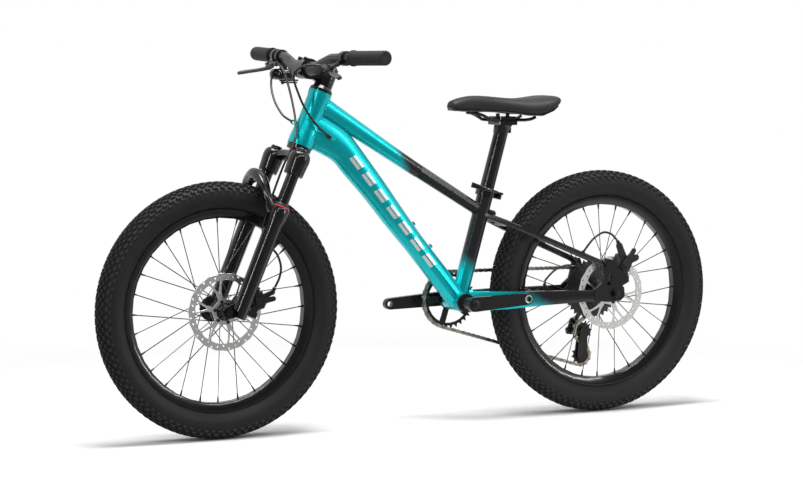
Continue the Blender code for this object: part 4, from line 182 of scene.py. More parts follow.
ARCH = (
    # forward, out, height, half depth and half thickness of the fork's arch, from leg to middle
    (0.024, 0.064, 0.221, 0.0088, 0.0078), (0.04, 0.0615, 0.232, 0.009, 0.0072),
    (0.053, 0.055, 0.25, 0.0098, 0.0072), (0.0625, 0.04, 0.272, 0.0114, 0.0086),
    (0.0665, 0.018, 0.284, 0.0142, 0.0108), (0.0675, 0.0, 0.288, 0.0152, 0.0118))
# Height below the bar and share of full size of the shifter's rounded pod
POD_LEVELS = (
    (-0.0258, 0.74), (-0.0244, 0.9), (-0.0215, 0.99), (-0.016, 1.03), (-0.01, 1.01), (-0.006, 0.92),
    (-0.0034, 0.74), (-0.0022, 0.45))
THROAT = (
    # upper and lower edge of the down tube's formed head, each as (x, z), and half its width
    ((0.236, 0.67), (0.264, 0.604), 0.019), ((0.214, 0.6605), (0.238, 0.589), 0.0222),
    ((0.176, 0.638), (0.215, 0.5775), 0.0233), ((0.1515, 0.616), (0.189, 0.562), 0.0235),
    ((0.123, 0.581), (0.1665, 0.5365), 0.0235), ((0.0763, 0.5208), (0.1191, 0.4853), 0.0234),
    ((0.0298, 0.4579), (0.0686, 0.4256), 0.0232), ((-0.0097, 0.4063), (0.0253, 0.3771), 0.0226))
# Ends of the top tube's middle line, and its radius at shares of its length
TOP_HEAD, TOP_SEAT = STEER @ Vector((0.004, 0, 0.472)), SEAT @ Vector((0.004, 0, 0.1985))
TOP_RADII = ((0.0, 0.0179), (0.12, 0.016), (0.5, 0.0144), (1.0, 0.0128))
# A chain link: distance of inner and outer plates from the middle, and depth and growth across a plate
PLATE_OUT = (0.0021, 0.003)
PLATE_LEVELS = ((-0.00045, 1.0), (0.0003, 1.0), (0.00045, 0.94))
PLATE_END, PLATE_WAIST = 0.004, 0.0029
# Radius and half length of a link's pin and of its roller
ROLLERS = ((0.0018, 0.0039), (0.0038, 0.0015))
WHITE = (1, 1, 1, 1)


def sum_method(operation, swapped=False):
    """Return a method that does a sum with the signal itself and with another number, if it is given one."""

    def method(self, *others):
        values = (self,) + others
        return self.sum(operation, *(values[::-1] if swapped else values))

    return method


class Signal:
    """A number that varies over a surface, written in sums as if it were a plain number."""

    def __init__(self, owner, socket):
        self.owner = owner
        self.socket = socket

    def sum(self, operation, *values):
        """Add a Math node that works on these values."""
        node = self.owner.node("ShaderNodeMath", {"operation": operation}, dict(enumerate(values)))
        return Signal(self.owner, node.outputs[0])

    __add__ = sum_method("ADD")
    __radd__ = sum_method("ADD", True)
    __sub__ = sum_method("SUBTRACT")
    __rsub__ = sum_method("SUBTRACT", True)
    __mul__ = sum_method("MULTIPLY")
    __rmul__ = sum_method("MULTIPLY", True)
    __truediv__ = sum_method("DIVIDE")
    __pow__ = sum_method("POWER")
    __abs__ = sum_method("ABSOLUTE")
    sine = sum_method("SINE")
    # What is left over a whole number
    fraction = sum_method("FRACT")
    # The smaller and the larger of two numbers
    least = sum_method("MINIMUM")
    most = sum_method("MAXIMUM")

    def rise(self, low, high):
        """Return a smooth rise from 0 at low to 1 at high."""
        node = self.owner.node("ShaderNodeMapRange", {"interpolation_type": "SMOOTHSTEP"},
                               {"Value": self, "From Min": low, "From Max": high})
        return Signal(self.owner, node.outputs["Result"])


class Nodes:
    """A node tree that grows through one method."""

    def __init__(self, tree):
        self.tree = tree

    def node(self, kind, settings=None, inputs=None):
        """Add a node, set its settings, and then give its sockets their values or links."""
        node = self.tree.nodes.new(kind)
        for label, value in (settings or {}).items():
            setattr(node, label, value)
        for label, value in (inputs or {}).items():
            self.join(value, node.inputs[label])
        return node

    def join(self, value, socket):
        """Link a signal or an output to a socket, or set the socket to a plain value."""
        if isinstance(value, Signal):
            value = value.socket
        if isinstance(value, bpy.types.NodeSocket):
            self.tree.links.new(value, socket)
        else:
            socket.default_value = value

    def parts(self, vector):
        """Return a vector's three numbers."""
        split = self.node("ShaderNodeSeparateXYZ", {}, {0: vector})
        return [Signal(self, socket) for socket in split.outputs]


def opaque(colour, share=1.0):
    """Return a share of a colour, with nothing see-through."""
    return tuple(min(1.0, part * share) for part in colour[:3]) + (1.0,)


class Finish(Nodes):
    """A material built round one shader."""

    def __init__(self, name, colour, roughness, metal=0.0, **fixed):
        self.material = bpy.data.materials.new(name)
        self.material.use_nodes = True
        super().__init__(self.material.node_tree)
        self.shader = self.tree.nodes["Principled BSDF"]
        self.colour = opaque(colour)
        self.roughness = roughness
        self.clouds = {}
        values = {"Base Color": self.colour, "Roughness": roughness, "Metallic": metal}
        values.update({key.replace("_", " "): value for key, value in fixed.items()})
        for label, value in values.items():
            self.shader.inputs[label].default_value = value
        self.place = self.node("ShaderNodeTexCoord").outputs["Object"]
        self.x, self.y, self.z = self.parts(self.place)

    def feed(self, label, value):
        """Let a signal or a node's output drive one of the shader's sockets."""
        self.join(value, self.shader.inputs[label])

    def noise(self, scale, detail, place=None):
        """Return a cloudy pattern from 0 to 1, which is made once for each scale and detail."""
        if (scale, detail) not in self.clouds:
            inputs = {"Vector": place or self.place, "Scale": scale, "Detail": detail}
            node = self.node("ShaderNodeTexNoise", {}, inputs)
            self.clouds[scale, detail] = Signal(self, node.outputs[0])
        return self.clouds[scale, detail]

    def cells(self, scale):
        """Return the distance to the nearest of many scattered points."""
        node = self.node("ShaderNodeTexVoronoi", {}, {"Vector": self.place, "Scale": scale})
        return Signal(self, node.outputs["Distance"])

    def mix(self, first, second, share):
        """Blend two colours, which are plain colours or outputs of earlier blends."""
        return self.node("ShaderNodeMix", {"data_type": "RGBA"}, {0: share, 6: first, 7: second}).outputs[2]

    def tint(self, share, low, high):
        """Vary the finish's own colour between a darker and a lighter one."""
        self.feed("Base Color", self.mix(opaque(self.colour, low), opaque(self.colour, high), share))

    def rough(self, share, swing):
        """Vary the roughness round its own value."""
        self.feed("Roughness", self.roughness + (share - 0.5) * swing)

    def bump(self, height, strength, depth):
        """Press a height into the surface's shading."""
        node = self.node("ShaderNodeBump", {}, {"Height": height, "Strength": strength, "Distance": depth})
        self.feed("Normal", node.outputs[0])


# Clouds of the gloss finishes, and those of blasted metal but for its relief, in the columns used below
GLOSS_CLOUDS = ((60.0, 4.0, 0.75, 1.35), (60.0, 4.0, 0.08), (18.0, 2.0, 0.04, 0.002))
SATIN_CLOUDS = ((45.0, 4.0, 0.82, 1.22), (120.0, 3.0, 0.08))
PLAIN_FINISHES = {
    # name, colour, roughness, metal and specular level; then scale, detail, dark and pale share of the cloud
    # in the colour; scale, detail and swing of the one in the roughness; and scale, detail, strength and
    # depth of the one in the relief, which is made of fine cells where it has no detail
    "gloss": ("gloss_black", (0.004, 0.004, 0.00432), 0.16, 0.0, 0.46, *GLOSS_CLOUDS),
    "rim": ("rim_black", (0.004, 0.004, 0.00432), 0.16, 0.0, 0.46, *GLOSS_CLOUDS),
    "satin": ("satin_black", (0.007, 0.007, 0.00735), 0.34, 0.0, 0.34,
              *SATIN_CLOUDS, (900.0, 2.0, 0.05, 0.0003)),
    "spoke": ("spoke_black", (0.005, 0.005, 0.00525), 0.3, 0.0, 0.34,
              *SATIN_CLOUDS, (1500.0, 2.0, 0.05, 0.0003)),
    "crank": ("crank_black", (0.006, 0.006, 0.0063), 0.28, 0.0, 0.34,
              *SATIN_CLOUDS, (1400.0, 2.0, 0.05, 0.0003)),
    "plastic": ("moulded_plastic", (0.008, 0.008, 0.009), 0.42, 0.0, 0.34,
                (80.0, 3.0, 0.8, 1.3), (200.0, 2.0, 0.1), (1500.0, 0, 0.18, 0.0004)),
    "cable": ("cable_sleeve", (0.008, 0.008, 0.008), 0.28, 0.0, 0.38,
              (90.0, 2.0, 0.8, 1.4), (160.0, 2.0, 0.1), (1200.0, 2.0, 0.08, 0.0003)),
    "chain": ("chain_steel", (0.4, 0.36, 0.31), 0.32, 1.0, 0.5,
              (170.0, 4.0, 0.45, 1.25), (170.0, 4.0, 0.22), (900.0, 2.0, 0.1, 0.0003)),
    "cog": ("sprocket_steel", (0.035, 0.034, 0.034), 0.42, 0.75, 0.5,
            (300.0, 4.0, 0.6, 1.9), (300.0, 4.0, 0.16), (300.0, 4.0, 0.1, 0.0003)),
    "seal": ("seal_red", (0.62, 0.012, 0.01), 0.46, 0.0, 0.5,
             (200.0, 3.0, 0.8, 1.15), (300.0, 2.0, 0.1), (700.0, 2.0, 0.1, 0.0003)),
}


def plain_finish(name, colour, roughness, metal, specular, tint, rough, relief):
    """Return a finish whose colour, roughness and relief each follow a pattern of their own."""
    made = Finish(name, colour, roughness, metal, Specular_IOR_Level=specular)
    made.tint(made.noise(*tint[:2]), *tint[2:])
    made.rough(made.noise(*rough[:2]), rough[2])
    scale, detail, strength, depth = relief
    made.bump(made.noise(scale, detail) if detail else made.cells(scale), strength, depth)
    return made.material


def paint_finish(settings):
    """Mix the frame's paint: teal in front, black behind, with plain silver blocks on the down tube."""
    metal, roughness = 0.8, 0.34
    made = Finish("frame_paint", settings.teal, roughness, metal, Coat_Weight=0.3, Coat_Roughness=0.09,
                  Specular_IOR_Level=0.2)
    # The border between the colours climbs towards the head tube and falls along the chain stays
    behind, base, slope, bend, stay_lead, stay_slope = 0.253, 0.267, 0.078, 3.25, 0.016, 0.6
    ahead = made.x + behind
    border = (base + slope * ahead.most(0.0) + bend * (ahead.most(0.0) ** 2.0)
              + stay_slope * (ahead - stay_lead).least(0.0))
    cloud = made.noise(38.0, 4.0)
    fade = ((made.z - border) / settings.fade + (cloud - 0.5) * 0.22).rise(-0.55, 0.55)
    flake = made.cells(1800.0).rise(0.1, 0.8)
    teal = made.mix(opaque(settings.teal, 1.03), opaque(settings.teal, 0.97), flake)
    body = made.mix(teal, opaque(settings.black), fade)
    # The blocks are cut from a band down the tube, with slanted gaps and a fine line along its middle
    top, foot = Vector(settings.mark_top), Vector(settings.mark_foot)
    length = (foot - top).length
    along = (foot - top) / length
    run = (made.x - top.x) * along.x + (made.z - top.z) * along.z
    off = (made.x - top.x) * -along.z + (made.z - top.z) * along.x
    slant = run + off * 0.22
    soft = 0.0006
    inside = slant.rise(0.0, soft) * (length - slant).rise(0.0, soft)
    gap = (slant * (settings.mark_count / length)).fraction()
    block = gap.rise(0.14, 0.17) * (1 - gap.rise(0.83, 0.86))
    edge, soft = settings.mark_height / 2, 0.0004
    height = 1 - abs(off).rise(edge - soft, edge + soft)
    side = abs(made.y).rise(0.008, 0.0088)
    split = abs(off).rise(0.001, 0.0016)
    mark = inside * block * height * side * split
    made.feed("Base Color", made.mix(body, opaque(settings.silver), mark))
    made.feed("Metallic", (1 - fade) * metal)
    made.feed("Roughness", roughness + (cloud - 0.5) * 0.05 - fade * 0.12)
    made.bump(made.noise(9.0, 2.0), 0.03, 0.002)
    return made.material


def brushed_steel(name, colour, roughness, centre=None):
    """Return bright steel; with a centre its grain runs in rings, as on a ground rotor."""
    made = Finish(name, colour, roughness, 1.0)
    if centre is None:
        stretch = {0: made.place, 1: (1.0, 0.25, 1.0)}
        place = made.node("ShaderNodeVectorMath", {"operation": "MULTIPLY"}, stretch).outputs[0]
        grain = made.noise(500.0, 4.0, place)
    else:
        across, upright = made.x - centre.x, made.z - centre.z
        out = (across * across + upright * upright) ** 0.5
        rings = {0: out * 2400.0, 1: across * 18.0, 2: upright * 18.0}
        grain = made.noise(1.0, 3.0, made.node("ShaderNodeCombineXYZ", {}, rings).outputs[0])
    made.tint(grain, 0.84, 1.1)
    made.rough(grain, 0.16)
    made.bump(grain, 0.12, 0.0003)
    return made.material


def tyre_finish(name, level, roughness):
    """Return dusty black tyre rubber."""
    made = Finish(name, (level, level, level * 1.06), roughness, Specular_IOR_Level=0.22)
    cloud = made.noise(26.0, 5.0)
    made.tint(cloud * 0.6 + made.noise(300.0, 3.0) * 0.4, 0.7, 1.55)
    made.rough(cloud, 0.14)
    made.bump(made.noise(700.0, 4.0) * 0.7 + made.noise(90.0, 2.0) * 0.5, 0.3, 0.0005)
    return made.material


def grip_finish():
    """Return grip rubber with a small crossed relief."""
    made = Finish("grip_rubber", (0.012, 0.012, 0.013), 0.74, Specular_IOR_Level=0.25)
    waves = (made.y * 2600.0).sine() * ((made.x + made.z) * 1900.0).sine()
    made.tint(made.noise(120.0, 4.0), 0.7, 1.35)
    made.bump(waves * 0.5 + made.noise(900.0, 2.0) * 0.4, 0.45, 0.0006)
    return made.material


def saddle_finish():
    """Return the saddle's synthetic leather: fine pores and soft creases."""
    made = Finish("saddle_cover", (0.008, 0.008, 0.009), 0.5, Specular_IOR_Level=0.22)
    crease = made.noise(220.0, 5.0)
    made.tint(made.noise(40.0, 4.0), 0.75, 1.4)
    made.rough(crease, 0.14)
    made.bump(made.cells(1300.0) * 0.7 + crease * 0.6, 0.28, 0.0005)
    return made.material


# Materials by short name, filled by the finishes operator
FINISHES = {}
# Which carried-over nodes take which finish
NODE_FINISHES = {
    "paint": "frame",
    "gloss": "headset_lower_cup headset_upper_cup headset_top_cover seat_clamp_collar seat_clamp_lever"
             " seatpost saddle_clamp_upper fork_crown stanchion_left stanchion_right fork_lowers stem"
             " stem_faceplate",
    "satin": "handlebar brake_body_left brake_body_right brake_lever_left brake_lever_right front_caliper"
             " rear_caliper front_caliper_arm rear_caliper_arm derailleur_bracket derailleur_link"
             " derailleur_knuckle derailleur_cage bottom_bracket_cartridge",
    "plastic": "saddle_shell shifter_body shift_thumb_lever shift_release_lever guide_pulley tension_pulley",
    "rim": "front_rim rear_rim",
    "spoke": "front_hub_spokes rear_hub_spokes",
    "crank": "crank_arm_left crank_arm_right chainring",
    "cog": "cassette",
    "chain": "chain",
    "steel": "crank_spindle",
    "dark_steel": "saddle_rails front_axle rear_axle",
    "grip": "grip_left grip_right",
    "cable": "front_brake_cable rear_brake_cable_front rear_brake_cable_rear shift_cable_front"
             " shift_cable_rear",
    "tyre": "front_tyre rear_tyre",
    "front_rotor": "front_rotor",
    "rear_rotor": "rear_rotor",
    "saddle": "saddle_cushion",
}


def make_finishes(settings):
    """Make every material once."""
    FINISHES.update({short: plain_finish(*values) for short, values in PLAIN_FINISHES.items()})
    FINISHES.update(
        paint=paint_finish(settings), grip=grip_finish(), saddle=saddle_finish(),
        # The knobs take a lighter copy of the tyre rubber. This is partly dust on the tread and partly a
        # painted highlight on the lit knob tops, against the darker body between them.
        tyre=tyre_finish("tyre_rubber", 0.007, 0.58), knob=tyre_finish("knob_rubber", 0.013, 0.66),
        steel=brushed_steel("axle_steel", (0.58, 0.57, 0.55), 0.3),
        dark_steel=brushed_steel("rail_steel", (0.04, 0.04, 0.041), 0.34),
        # Both rotors are the same steel. Their two levels are painted light and shade, set so that each
        # rotor matches how brightly it is lit.
        front_rotor=brushed_steel("front_rotor_steel", (0.74, 0.73, 0.71), 0.34, FRONT_AXLE),
        rear_rotor=brushed_steel("rear_rotor_steel", (0.64, 0.63, 0.61), 0.34, REAR_AXLE))


def dress_node(name, finish):
    """Give a carried-over node its material and a smooth look across its shallow edges."""
    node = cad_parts[name]
    node.data.materials.clear()
    node.data.materials.append(FINISHES[finish])
    node.data.polygons.foreach_set("use_smooth", [True] * len(node.data.polygons))
    node.modifiers.new("weld", "WELD").merge_threshold = 0.00001
    node.modifiers.new("crisp_edges", "EDGE_SPLIT").split_angle = math.radians(34)


def to_mesh(bm, welded=True):
    """Turn a bmesh into a mesh with its faces turned outward."""
    if welded:
        bmesh.ops.remove_doubles(bm, verts=bm.verts[:], dist=1e-6)
    bmesh.ops.recalc_face_normals(bm, faces=bm.faces[:])
    mesh = bpy.data.meshes.new("piece")
    bm.to_mesh(mesh)
    bm.free()
    return mesh


def place_piece(name, shape, finish, body, matrix=None, crisp=35.0):
    """Link a mesh or a bmesh as a piece that rides on a body."""
    mesh = shape if isinstance(shape, bpy.types.Mesh) else to_mesh(shape)
    if matrix is not None:
        mesh.transform(matrix)
    mesh.name = name
    places = [polygon.material_index for polygon in mesh.polygons]
    mesh.materials.clear()
    mesh.materials.append(FINISHES[finish])
    mesh.polygons.foreach_set("material_index", places)
    mesh.polygons.foreach_set("use_smooth", [True] * len(mesh.polygons))
    mesh.set_sharp_from_angle(angle=math.radians(crisp))
    piece = bpy.data.objects.new(name, mesh)
    bpy.context.scene.collection.objects.link(piece)
    if body:
        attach(piece, body)
    return piece


def ring_points(centre, side, up, count, powers=(1.0, 1.0)):
    """Return an oval ring of points, which powers below 1 draw towards a rectangle."""
    ring = []
    for step in range(count):
        turn = 2 * math.pi * step / count
        across, rise = (math.copysign(abs(part) ** power, part)
                        for part, power in zip((math.cos(turn), math.sin(turn)), powers))
        ring.append(centre + side * across + up * rise)
    return ring


def add_loft(bm, rings, capped=True):
    """Skin rings of points that have the same count."""
    rows = [[bm.verts.new(point) for point in ring] for ring in rings]
    for low, high in zip(rows, rows[1:]):
        for index in range(len(low)):
            after = (index + 1) % len(low)
            bm.faces.new((low[index], low[after], high[after], high[index]))
    if capped:
        bm.faces.new(rows[0][::-1])
        bm.faces.new(rows[-1])


def add_turned(bm, profile, matrix, sides=40, closed=False):
    """Turn a profile of (radius, height) round the matrix's Z axis."""
    rings = []
    for radius, height in profile:
        ring = ring_points(UP * height, FORWARD * radius, LEFT * radius, sides)
        rings.append([matrix @ point for point in ring])
    if closed:
        rings.append(rings[0])
    add_loft(bm, rings, not closed)


def loft_mesh(rings):
    """Return a closed mesh skinned over rings."""
    bm = bmesh.new()
    add_loft(bm, rings)
    return to_mesh(bm)


def turn_to(axis):
    """Return the rotation that lays Z along an axis."""
    return UP.rotation_difference(Vector(axis).normalized()).to_matrix().to_4x4()


def add_bolt(bm, at, axis, radius, height):
    """Add a round bolt head with a six-sided socket of half its width."""
    matrix = Matrix.Translation(at) @ turn_to(axis)
    sides, sector = 24, math.pi / 3
    rings = []
    for share, level, hexed in BOLT_LEVELS:
        ring = []
        for step in range(sides):
            turn = 2 * math.pi * step / sides
            out = radius * share
            if hexed:
                out *= 0.5 * math.cos(sector / 2) / math.cos(turn % sector - sector / 2)
            ring.append(matrix @ Vector((out * math.cos(turn), out * math.sin(turn), height * level)))
        rings.append(ring)
    add_loft(bm, rings)


def plate_mesh(outlines, thickness, edge=0.00015):
    """Fill flat outlines, holes among them, and give them a thickness with softened edges."""
    curve = bpy.data.curves.new("outline", "CURVE")
    curve.dimensions = "2D"
    curve.fill_mode = "BOTH"
    curve.extrude = thickness / 2 - edge
    curve.bevel_depth = edge
    curve.bevel_resolution = 0
    for outline in outlines:
        spline = curve.splines.new("POLY")
        spline.points.add(len(outline) - 1)
        for point, (x, y) in zip(spline.points, outline):
            point.co = (x, y, 0.0, 1.0)
        spline.use_cyclic_u = True
    holder = bpy.data.objects.new("outline", curve)
    bpy.context.scene.collection.objects.link(holder)
    ready = holder.evaluated_get(bpy.context.evaluated_depsgraph_get())
    mesh = bpy.data.meshes.new_from_object(ready)
    bpy.data.objects.remove(holder)
    bpy.data.curves.remove(curve)
    return mesh


def polar(radius, degrees):
    """Return the point at a radius and an angle."""
    turn = math.radians(degrees)
    return (radius * math.cos(turn), radius * math.sin(turn))


def circle(radius, count, centre=(0.0, 0.0)):
    """Return points round a circle."""
    points = [polar(radius, 360 * step / count) for step in range(count)]
    return [(centre[0] + x, centre[1] + y) for x, y in points]


def curve_point(a, b, c, d, t):
    """Return the value at a share t of the way from b to c on a smooth curve through all four."""
    bend = 2 * a - 5 * b + 4 * c - d
    return 0.5 * (2 * b + (c - a) * t + bend * t * t + (3 * b - a - 3 * c + d) * t ** 3)


def smooth_line(points, steps):
    """Put a smooth curve's points between given ones."""
    points = [Vector(point) for point in points]
    ends = [points[0] * 2 - points[1]] + points + [points[-1] * 2 - points[-2]]
    result = []
    for four in zip(ends, ends[1:], ends[2:], ends[3:]):
        result += [curve_point(*four, step / steps) for step in range(steps)]
    return result + [points[-1]]


def heading_at(path, index):
    """Return the heading of an open path at one of its points."""
    return (path[min(index + 1, len(path) - 1)] - path[max(index - 1, 0)]).normalized()


def spoke_way(turn):
    """Return the heading away from an axle at a turn from forward to upward."""
    return Vector((math.cos(turn), 0, math.sin(turn)))


def add_tube(bm, path, radius):
    """Skin a round tube along a path without twisting it."""
    side = None
    rings = []
    for index, point in enumerate(path):
        along = heading_at(path, index)
        side = side or along.orthogonal().normalized()
        side = (side - along * along.dot(side)).normalized()
        rings.append(ring_points(point, side * radius, along.cross(side) * radius, 14))
    add_loft(bm, rings)


# Kinds of setting
colour_setting = partial(bpy.props.FloatVectorProperty, subtype="COLOR", size=3, min=0, max=1)
place_setting = partial(bpy.props.FloatVectorProperty, subtype="XYZ", size=3)
length_setting = partial(bpy.props.FloatProperty, unit="LENGTH")
power_setting = partial(bpy.props.FloatProperty, min=0.0, max=1000.0)
count_setting = bpy.props.IntProperty


class PaintSettings(bpy.types.PropertyGroup):
    """Colours of the frame."""

    teal: colour_setting(name="Teal", description="Colour of the frame's front", default=(0.0, 0.43, 0.46))
    black: colour_setting(name="Black", description="Colour of the frame's rear",
                          default=(0.01, 0.01, 0.011))
    silver: colour_setting(name="Silver", description="Colour of the blocks on the down tube",
                           default=(0.78, 0.79, 0.8))
    fade: length_setting(name="Fade", description="Height over which teal turns to black", default=0.05,
                         min=0.005, max=0.3)
    mark_top: place_setting(name="Blocks start", description="Upper end of the silver blocks",
                            default=(0.162, 0.02, 0.579))
    mark_foot: place_setting(name="Blocks end", description="Lower end of the silver blocks",
                             default=(-0.0375, 0.02, 0.3326))
    mark_height: length_setting(name="Block height", description="Height of a silver block", default=0.016,
                                min=0.005, max=0.05)
    mark_count: count_setting(name="Blocks", description="How many silver blocks there are", default=7,
                              min=1, max=20)


class WheelSettings(bpy.types.PropertyGroup):
    """Sizes of tread and rotors."""

    knobs: count_setting(name="Knobs", description="Knobs in each row round the tyre", default=96,
                         min=24, max=140)
    knob_height: length_setting(name="Knob height", description="How far a knob stands up", default=0.0046,
                                min=0.001, max=0.0047)
    rotor_holes: count_setting(name="Rotor holes", description="Drilled holes round a rotor", default=36,
                               min=6, max=60)


class SaddleSettings(bpy.types.PropertyGroup):
    """Sizes of the saddle's cover."""

    groove: length_setting(name="Groove", description="Depth of the hollow along the middle", default=0.0022,
                           min=0.0, max=0.006)
    seam: length_setting(name="Seam", description="Depth of the sewn line on each flank", default=0.0007,
                         min=0.0, max=0.002)


class StudioSettings(bpy.types.PropertyGroup):
    """Light and floor."""

    key: power_setting(name="Key light", description="Strength of the large lamp overhead", default=94.0)
    strip: power_setting(name="Strip light", description="Strength of the long lamp over the near side",
                         default=24.0)
    fill: power_setting(name="Side light", description="Strength of the two upright strip lamps",
                        default=28.0)
    room: bpy.props.FloatProperty(name="Room light", description="Level of the plain light all round",
                                  default=0.13, min=0.0, max=2.0)
    dark: bpy.props.FloatProperty(name="Dark side", subtype="FACTOR", default=0.84, min=0.0, max=1.0,
                                  description="How much darker the room is on the near side")
    floor: colour_setting(name="Floor", description="Colour of the floor", default=(0.88, 0.88, 0.88))


class BikeOperator(bpy.types.Operator):
    """Shared base of the bike's operators."""

    bl_options = {"REGISTER", "UNDO"}


class BIKE_OT_finishes(BikeOperator):
    """Make every finish and put them on the carried-over nodes."""

    bl_idname = "bike.finishes"
    bl_label = "Finishes"

    def execute(self, context):
        make_finishes(context.scene.bike_paint)
        for finish, names in NODE_FINISHES.items():
            for name in names.split():
                dress_node(name, finish)
        return {"FINISHED"}


def section_at(share):
    """Return the point at a share of the tyre's half section, with the headings out of it and along it."""
    line = [Vector((y, r)) for r, y in TYRE_SECTION[::-1]]
    lengths = [(b - a).length for a, b in zip(line, line[1:])]
    target = share * sum(lengths)
    for start, end, length in zip(line, line[1:], lengths):
        if target <= length:
            break
        target -= length
    along = (end - start).normalized()
    return start + along * target, Vector((-along.y, along.x)), along


def add_knob(bm, side, share, width, length, height, turn):
    """Add one tapered knob to a tyre whose axle is the Y axis."""
    spot, out, along = section_at(share)
    rings = []
    # The foot sinks into the tyre, and the knob narrows towards its top
    for level, grow in ((-0.001, 1.06), (height * 0.75, 0.94), (height, 0.8)):
        ring = []
        for across, around in ((-1, -1), (1, -1), (1, 1), (-1, 1)):
            flat = spot + out * level + along * (across * width * grow / 2)
            angle = turn + around * length * grow / 2 / flat.y
            ring.append(Vector((flat.y * math.cos(angle), flat.x * side, flat.y * math.sin(angle))))
        rings.append(ring)
    start = len(bm.faces)
    add_loft(bm, rings)
    bm.faces.ensure_lookup_table()
    for face in bm.faces[start:]:
        face.material_index = 1


def tyre_mesh(settings):
    """Return a tyre with its tread, centred on its axle."""
    bm = bmesh.new()
    half = smooth_line([(y, r, 0) for r, y in TYRE_SECTION], 2)
    profile = [(point.y, -point.x) for point in half[:-1]] + [(point.y, point.x) for point in half[::-1]]
    add_turned(bm, profile + BEAD_SEAT, ACROSS, 144, True)
    for share, width, length, tall, shift, stretch in KNOB_ROWS:
        for side, lag in ((-1, shift), (1, shift + 0.5)):
            for index in range(settings.knobs):
                turn = 2 * math.pi * (index + lag) / settings.knobs
                long = length * (1.0 if index % 2 else stretch)
                add_knob(bm, side, share, width, long, settings.knob_height * tall, turn)
    return to_mesh(bm, False)


class BIKE_OT_tyres(BikeOperator):
    """Make both tyres with rows of knobs."""

    bl_idname = "bike.tyres"
    bl_label = "Tyres"

    def execute(self, context):
        mesh = tyre_mesh(context.scene.bike_wheels)
        for end, where in WHEELS.items():
            piece = place_piece(end + "_tyre_tread", mesh.copy(), "tyre", end + "_wheel",
                                where, 30.0)
            # The knobs take the lighter knob rubber, which paints light onto their tops.
            piece.data.materials.append(FINISHES["knob"])
            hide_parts(end + "_tyre")
        return {"FINISHED"}


def rotor_mesh(settings):
    """Return a rotor lying in the XY plane: drilled band, leaning arms and six bolt eyes."""
    edge, wave, waves, bore, thickness = 0.0793, 0.0007, 18, 0.0182, 0.0018
    hole_radius, hole_rings, hole_lead = 0.0021, (0.0694, 0.0726, 0.0758), 3
    rim = []
    for step in range(144):
        degrees = 2.5 * step
        rim.append(polar(edge + wave * math.sin(math.radians(degrees * waves)), degrees))
    outlines = [rim, circle(bore, 32)]
    for index in range(6):
        for window in (WIDE_WINDOW, SMALL_WINDOW):
            outlines.append([polar(radius, 60 * index + FIRST_ARM + degrees) for radius, degrees in window])
    for index in range(settings.rotor_holes):
        hole = polar(hole_rings[index % 3], 360 * index / settings.rotor_holes + hole_lead)
        outlines.append(circle(hole_radius, 12, hole))
    return plate_mesh(outlines, thickness)


class BIKE_OT_rotors(BikeOperator):
    """Make both brake rotors and their bolts."""

    bl_idname = "bike.rotors"
    bl_label = "Rotors"

    def execute(self, context):
        bolt_circle, face = 0.0222, 0.0007
        for end, where in WHEELS.items():
            out = ROTOR_OUT[end]
            flat = where @ Matrix.Translation((0, out, 0)) @ Matrix.Rotation(math.pi / 2, 4, "X")
            piece = place_piece(end + "_rotor_disc", rotor_mesh(context.scene.bike_wheels), end + "_rotor",
                                end + "_wheel", flat)
            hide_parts(end + "_rotor")
            bm = bmesh.new()
            for index in range(6):
                x, z = polar(bolt_circle, 60 * index + FIRST_ARM)
                add_bolt(bm, where @ Vector((x, out + face, z)), LEFT, 0.0034, 0.0024)
            place_piece(end + "_rotor_bolts", bm, "dark_steel", end + "_wheel")
        return {"FINISHED"}


class BIKE_OT_nipples(BikeOperator):
    """Add spoke nipples and a valve to each wheel."""

    bl_idname = "bike.nipples"
    bl_label = "Spoke nipples"

    def execute(self, context):
        per_side = SPOKES // 2
        hub_radius, nipple_radius, valve_radius, crossing = 0.0225, 0.1888, 0.1898, math.radians(66)
        # How far a head stands out of its flange, and the share of the flange's offset left at the rim
        head_out, rim_share = 0.0024, 0.1
        for end, where in WHEELS.items():
            left, right, gap = FLANGES[end]
            bm = bmesh.new()
            for flange, start in ((left, 0.0), (right, 0.5)):
                for index in range(per_side):
                    lead = 1 if index % 2 else -1
                    turn = 2 * math.pi * (index + start) / per_side
                    rim = spoke_way(turn) * nipple_radius + LEFT * flange * rim_share
                    hub = spoke_way(turn + lead * crossing) * hub_radius + LEFT * (flange + lead * head_out)
                    along = (hub - rim).normalized()
                    matrix = where @ Matrix.Translation(rim - along * 0.0006) @ turn_to(along)
                    add_turned(bm, NIPPLE, matrix, 10)
            place_piece(end + "_nipples", bm, "dark_steel", end + "_wheel")
            bm = bmesh.new()
            turn = math.pi / per_side * (0.5 + gap)
            inward = -spoke_way(turn)
            add_turned(bm, VALVE, where @ Matrix.Translation(-inward * valve_radius) @ turn_to(inward), 20)
            place_piece(end + "_valve", bm, "plastic", end + "_wheel")
        return {"FINISHED"}


def saddle_rows(steps):
    """Return the saddle's stations with smooth ones between them."""
    ends = SADDLE_STATIONS[:1] + SADDLE_STATIONS + SADDLE_STATIONS[-1:]
    rows = []
    for four in zip(ends, ends[1:], ends[2:], ends[3:]):
        rows += [[curve_point(*values, step / steps) for values in zip(*four)] for step in range(steps)]
    return rows + [SADDLE_STATIONS[-1]]


